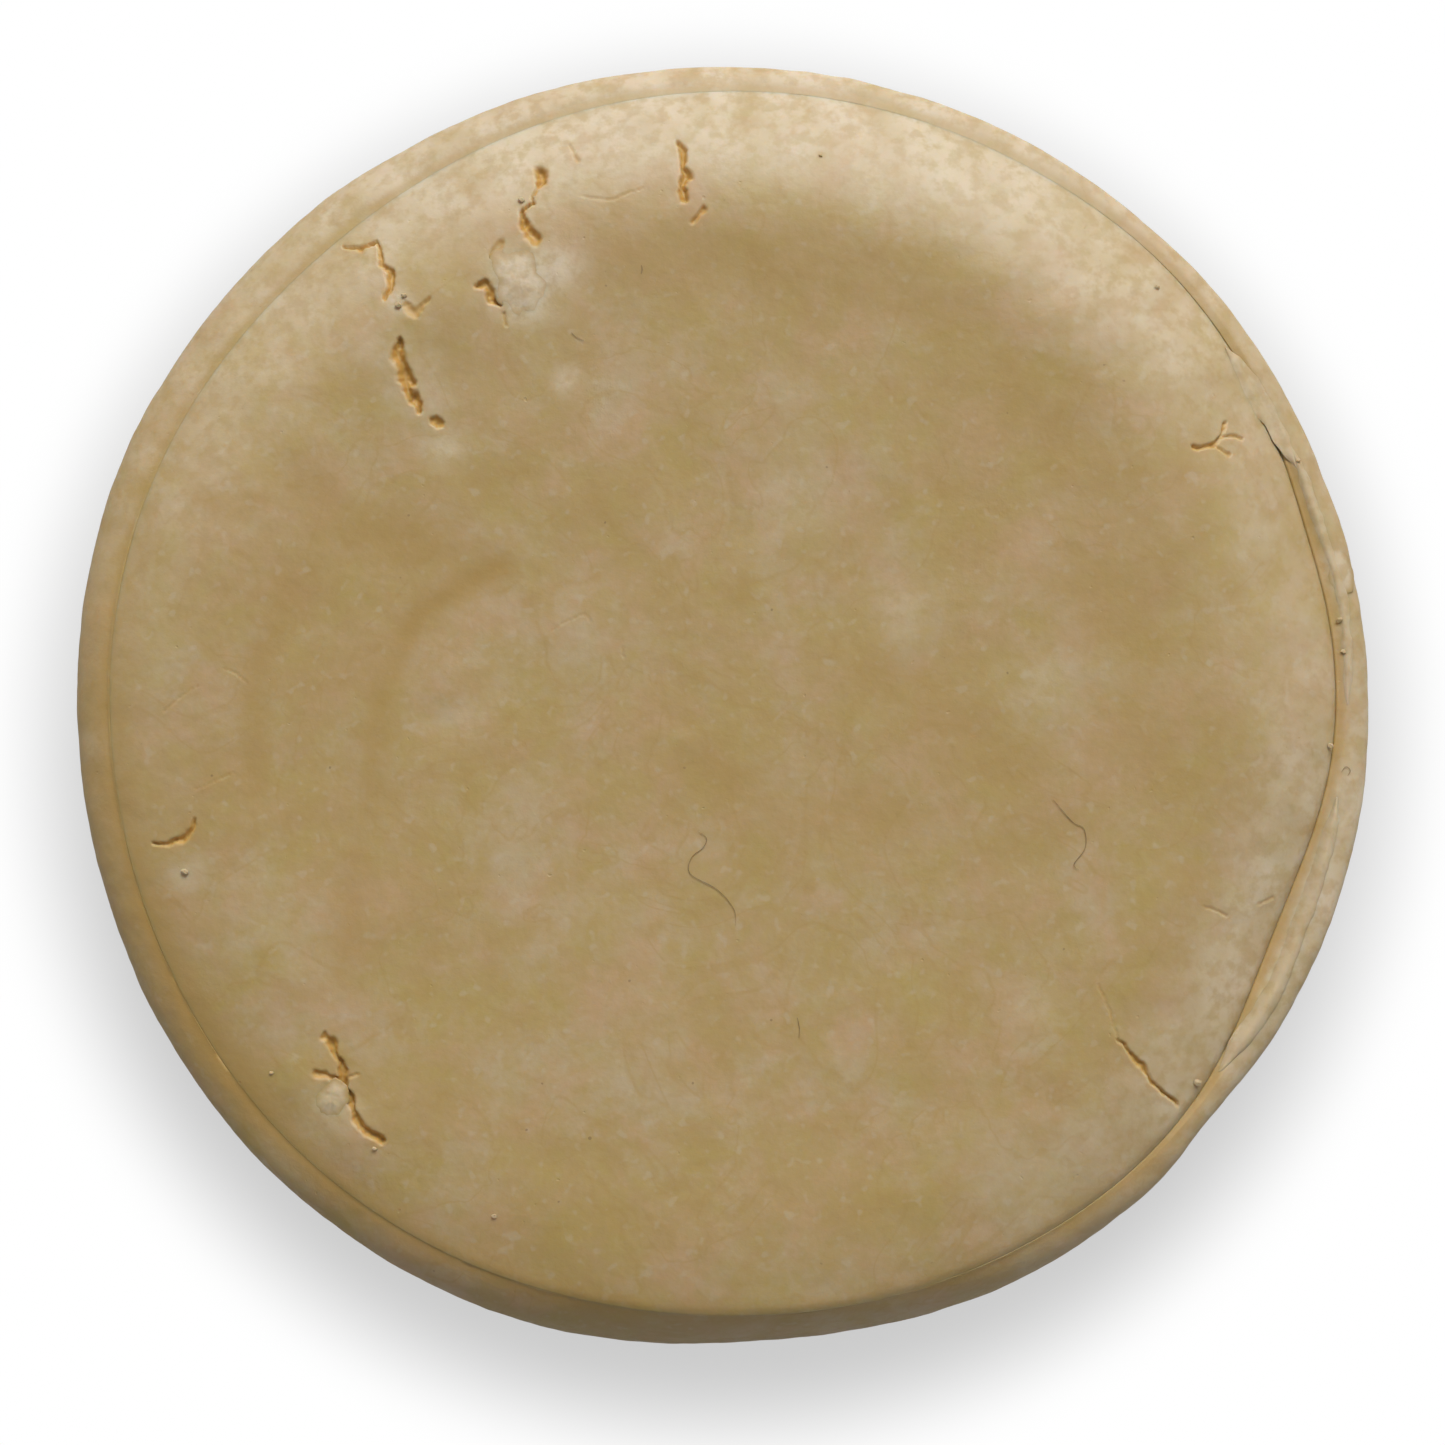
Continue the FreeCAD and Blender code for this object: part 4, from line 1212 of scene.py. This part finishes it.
def white_world(ambient, heading, lean):
    """Even light all round that leans towards a heading, seen by the camera as pure white."""
    world = bpy.data.worlds.new("white_studio")
    world.use_nodes = True
    tree = world.node_tree
    tree.nodes.clear()
    seen = add_node(tree, "ShaderNodeLightPath").outputs["Is Camera Ray"]
    way = add_node(tree, "ShaderNodeTexCoord").outputs["Generated"]
    towards = (math.cos(heading), math.sin(heading), 0.0)
    facing = add_node(tree, "ShaderNodeVectorMath", {0: way, 1: towards}, operation="DOT_PRODUCT")
    strength = calculate(tree, "MULTIPLY", facing.outputs["Value"], lean * ambient)
    strength = calculate(tree, "ADD", strength, ambient)
    strength = calculate(tree, "MAXIMUM", strength, seen)
    light = add_node(tree, "ShaderNodeBackground", {"Color": WHITE, "Strength": strength})
    add_node(tree, "ShaderNodeOutputWorld", {"Surface": light.outputs[0]})
    return world


# ---------------------------------------------------------------------------------------------
# Operators
# ---------------------------------------------------------------------------------------------

class SOAP_OT_base_layer(bpy.types.Operator):
    """Make the base layer: the cup of pressed soap with its raised rim"""
    bl_idname = "soap.base_layer"
    bl_label = "Base Layer"

    def execute(self, context):
        scene = context.scene
        points, faces, marks = base_layer_mesh(Puck(scene.puck_shape), BASE_POINTS)
        material = soap_material("pressed_base", scene.puck_finish, 0.045, 0.008)
        piece = add_piece("base_layer_soap", points, faces, material, marks)
        finish_piece(piece, "base_soap", "base_layer")
        return {"FINISHED"}


class SOAP_OT_top_layer(bpy.types.Operator):
    """Make the top layer with its cracks, pits and soft shoulder"""
    bl_idname = "soap.top_layer"
    bl_label = "Top Layer"

    def execute(self, context):
        scene = context.scene
        points, faces, marks = top_layer_mesh(Puck(scene.puck_shape), scene.puck_shape.fineness)
        material = soap_material("pressed_top", scene.puck_finish)
        piece = add_piece("top_layer_soap", points, faces, material, marks)
        sharpen_ring(piece.data, EDGE_POINTS)
        finish_piece(piece, "top_soap", "top_layer")
        return {"FINISHED"}


class SOAP_OT_squeezed_lips(bpy.types.Operator):
    """Make the ridges of soap squeezed out of the seam and the flap lifted beside it"""
    bl_idname = "soap.squeezed_lips"
    bl_label = "Squeezed Lips"

    def execute(self, context):
        scene = context.scene
        material = soap_material("squeezed_ridge", scene.puck_finish, 0.03, 0.006, 0.55, THIN_DEPTH)
        for seed, (node, *place) in enumerate(LIPS):
            points, faces = lip_mesh(Puck(scene.puck_shape), *place, 20.0 + 5 * seed)
            piece = add_piece(node + "_soap", points, faces, material)
            finish_piece(piece, "squeezed_soap", node)
        return {"FINISHED"}


class SOAP_OT_pressed_crumbs(bpy.types.Operator):
    """Make the crumbs and the flake pressed onto the surface"""
    bl_idname = "soap.pressed_crumbs"
    bl_label = "Pressed Crumbs"

    def execute(self, context):
        scene = context.scene
        material = soap_material("dusty_smear", scene.puck_finish, depth=THIN_DEPTH)
        for seed, (node, *place) in enumerate(PRESSED):
            points, faces, marks = lump_mesh(Puck(scene.puck_shape), *place, 50.0 + 3 * seed)
            piece = add_piece(node + "_soap", points, faces, material, marks)
            finish_piece(piece, "dry_crumb", node)
        return {"FINISHED"}


class SOAP_OT_loose_crumbs(bpy.types.Operator):
    """Scatter the loose crumbs"""
    bl_idname = "soap.loose_crumbs"
    bl_label = "Loose Crumbs"

    def execute(self, context):
        scene = context.scene
        puck = Puck(scene.puck_shape)
        all_points, all_faces = [], []
        for number, (x, y, size) in enumerate(CRUMBS):
            points, faces = crumb_points(number + 1)
            floor = surface_height(puck, np.array([x]), np.array([y]))[0]
            first = sum(len(p) for p in all_points)
            all_points.append(points * size * CRUMB_SHAPE + [x, y, floor + 0.5 * size])
            all_faces.extend(tuple(first + i for i in face) for face in faces)
        material = soap_material("dusty_crumb", scene.puck_finish, 0.02, 0.01, 0.45, THIN_DEPTH)
        points = np.concatenate(all_points)
        piece = add_piece("loose_crumbs_soap", points, all_faces, material, smooth=False)
        finish_piece(piece, "dry_crumb", "loose_crumbs")
        return {"FINISHED"}


class SOAP_OT_hairs(bpy.types.Operator):
    """Lay the stray bristle hairs on the face"""
    bl_idname = "soap.hairs"
    bl_label = "Hairs"

    def execute(self, context):
        scene = context.scene
        for name, thickness, places in HAIRS:
            points, faces = hair_mesh(Puck(scene.puck_shape), places, thickness)
            piece = add_piece(name, points, faces, hair_material(scene.puck_finish))
            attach(piece, BODY)
        return {"FINISHED"}


class SOAP_OT_stage(bpy.types.Operator):
    """Make the white floor, the lights and the camera over the puck"""
    bl_idname = "soap.stage"
    bl_label = "Stage"

    def execute(self, context):
        scene = context.scene
        stage = scene.soap_stage
        scene.view_settings.view_transform = "Standard"
        self.add_floor(stage.floor_size)
        scene.world = white_world(stage.ambient, stage.key_heading, stage.lean)
        self.add_key(scene, stage)
        self.add_camera(scene, stage)
        return {"FINISHED"}

    def add_floor(self, size):
        headings = np.arange(0.0, 360.0, 5.0)
        level = CAD_LOW.z / MM - FLOOR_GAP
        points = polar_points(size / MM, headings, np.full_like(headings, level))
        material = floor_material(0.5 * (BASE_HIGH.x - BASE_LOW.x))
        floor = add_piece("floor", points, [tuple(range(len(points)))], material)

    def add_key(self, scene, stage):
        key = bpy.data.lights.new("key_light", "SUN")
        key.energy = stage.key_strength
        key.angle = stage.key_spread
        lamp = bpy.data.objects.new("key_light", key)
        quarter = math.radians(90.0)
        lamp.rotation_euler = (quarter - stage.key_height, 0.0, stage.key_heading + quarter)
        scene.collection.objects.link(lamp)

    def add_camera(self, scene, stage):
        camera = bpy.data.cameras.new("camera")
        camera.lens = stage.camera_lens
        camera.clip_start = 0.01
        seat = bpy.data.objects.new("camera", camera)
        x, y = CAMERA_PLACE
        seat.location = (x * MM, y * MM, TOP_HIGH.z + stage.camera_height)
        scene.collection.objects.link(seat)
        scene.camera = seat


class SOAP_PT_puck(bpy.types.Panel):
    """The puck's settings and the buttons that make its pieces"""
    bl_label = "Soap Puck"
    bl_idname = "SOAP_PT_puck"
    bl_space_type = "VIEW_3D"
    bl_region_type = "UI"
    bl_category = "Soap Puck"

    def draw(self, context):
        layout = self.layout
        for settings in (context.scene.puck_shape, context.scene.puck_finish, context.scene.soap_stage):
            box = layout.box()
            for name in settings.__annotations__:
                box.prop(settings, name)
        for operator in OPERATORS:
            layout.operator(operator.bl_idname)


SETTINGS = (("puck_shape", PuckShape), ("puck_finish", PuckFinish), ("soap_stage", StageSettings))
OPERATORS = (SOAP_OT_stage, SOAP_OT_base_layer, SOAP_OT_top_layer, SOAP_OT_squeezed_lips,
             SOAP_OT_pressed_crumbs, SOAP_OT_loose_crumbs, SOAP_OT_hairs)


def register():
    for name, settings in SETTINGS:
        bpy.utils.register_class(settings)
        setattr(bpy.types.Scene, name, bpy.props.PointerProperty(type=settings))
    for operator in OPERATORS:
        bpy.utils.register_class(operator)
    bpy.utils.register_class(SOAP_PT_puck)


def unregister():
    bpy.utils.unregister_class(SOAP_PT_puck)
    for operator in reversed(OPERATORS):
        bpy.utils.unregister_class(operator)
    for name, settings in reversed(SETTINGS):
        delattr(bpy.types.Scene, name)
        bpy.utils.unregister_class(settings)


def main():
    register()
    bpy.ops.soap.stage()
    bpy.ops.soap.base_layer()
    bpy.ops.soap.top_layer()
    bpy.ops.soap.squeezed_lips()
    bpy.ops.soap.pressed_crumbs()
    bpy.ops.soap.loose_crumbs()
    bpy.ops.soap.hairs()


if __name__ == "__main__":
    main()
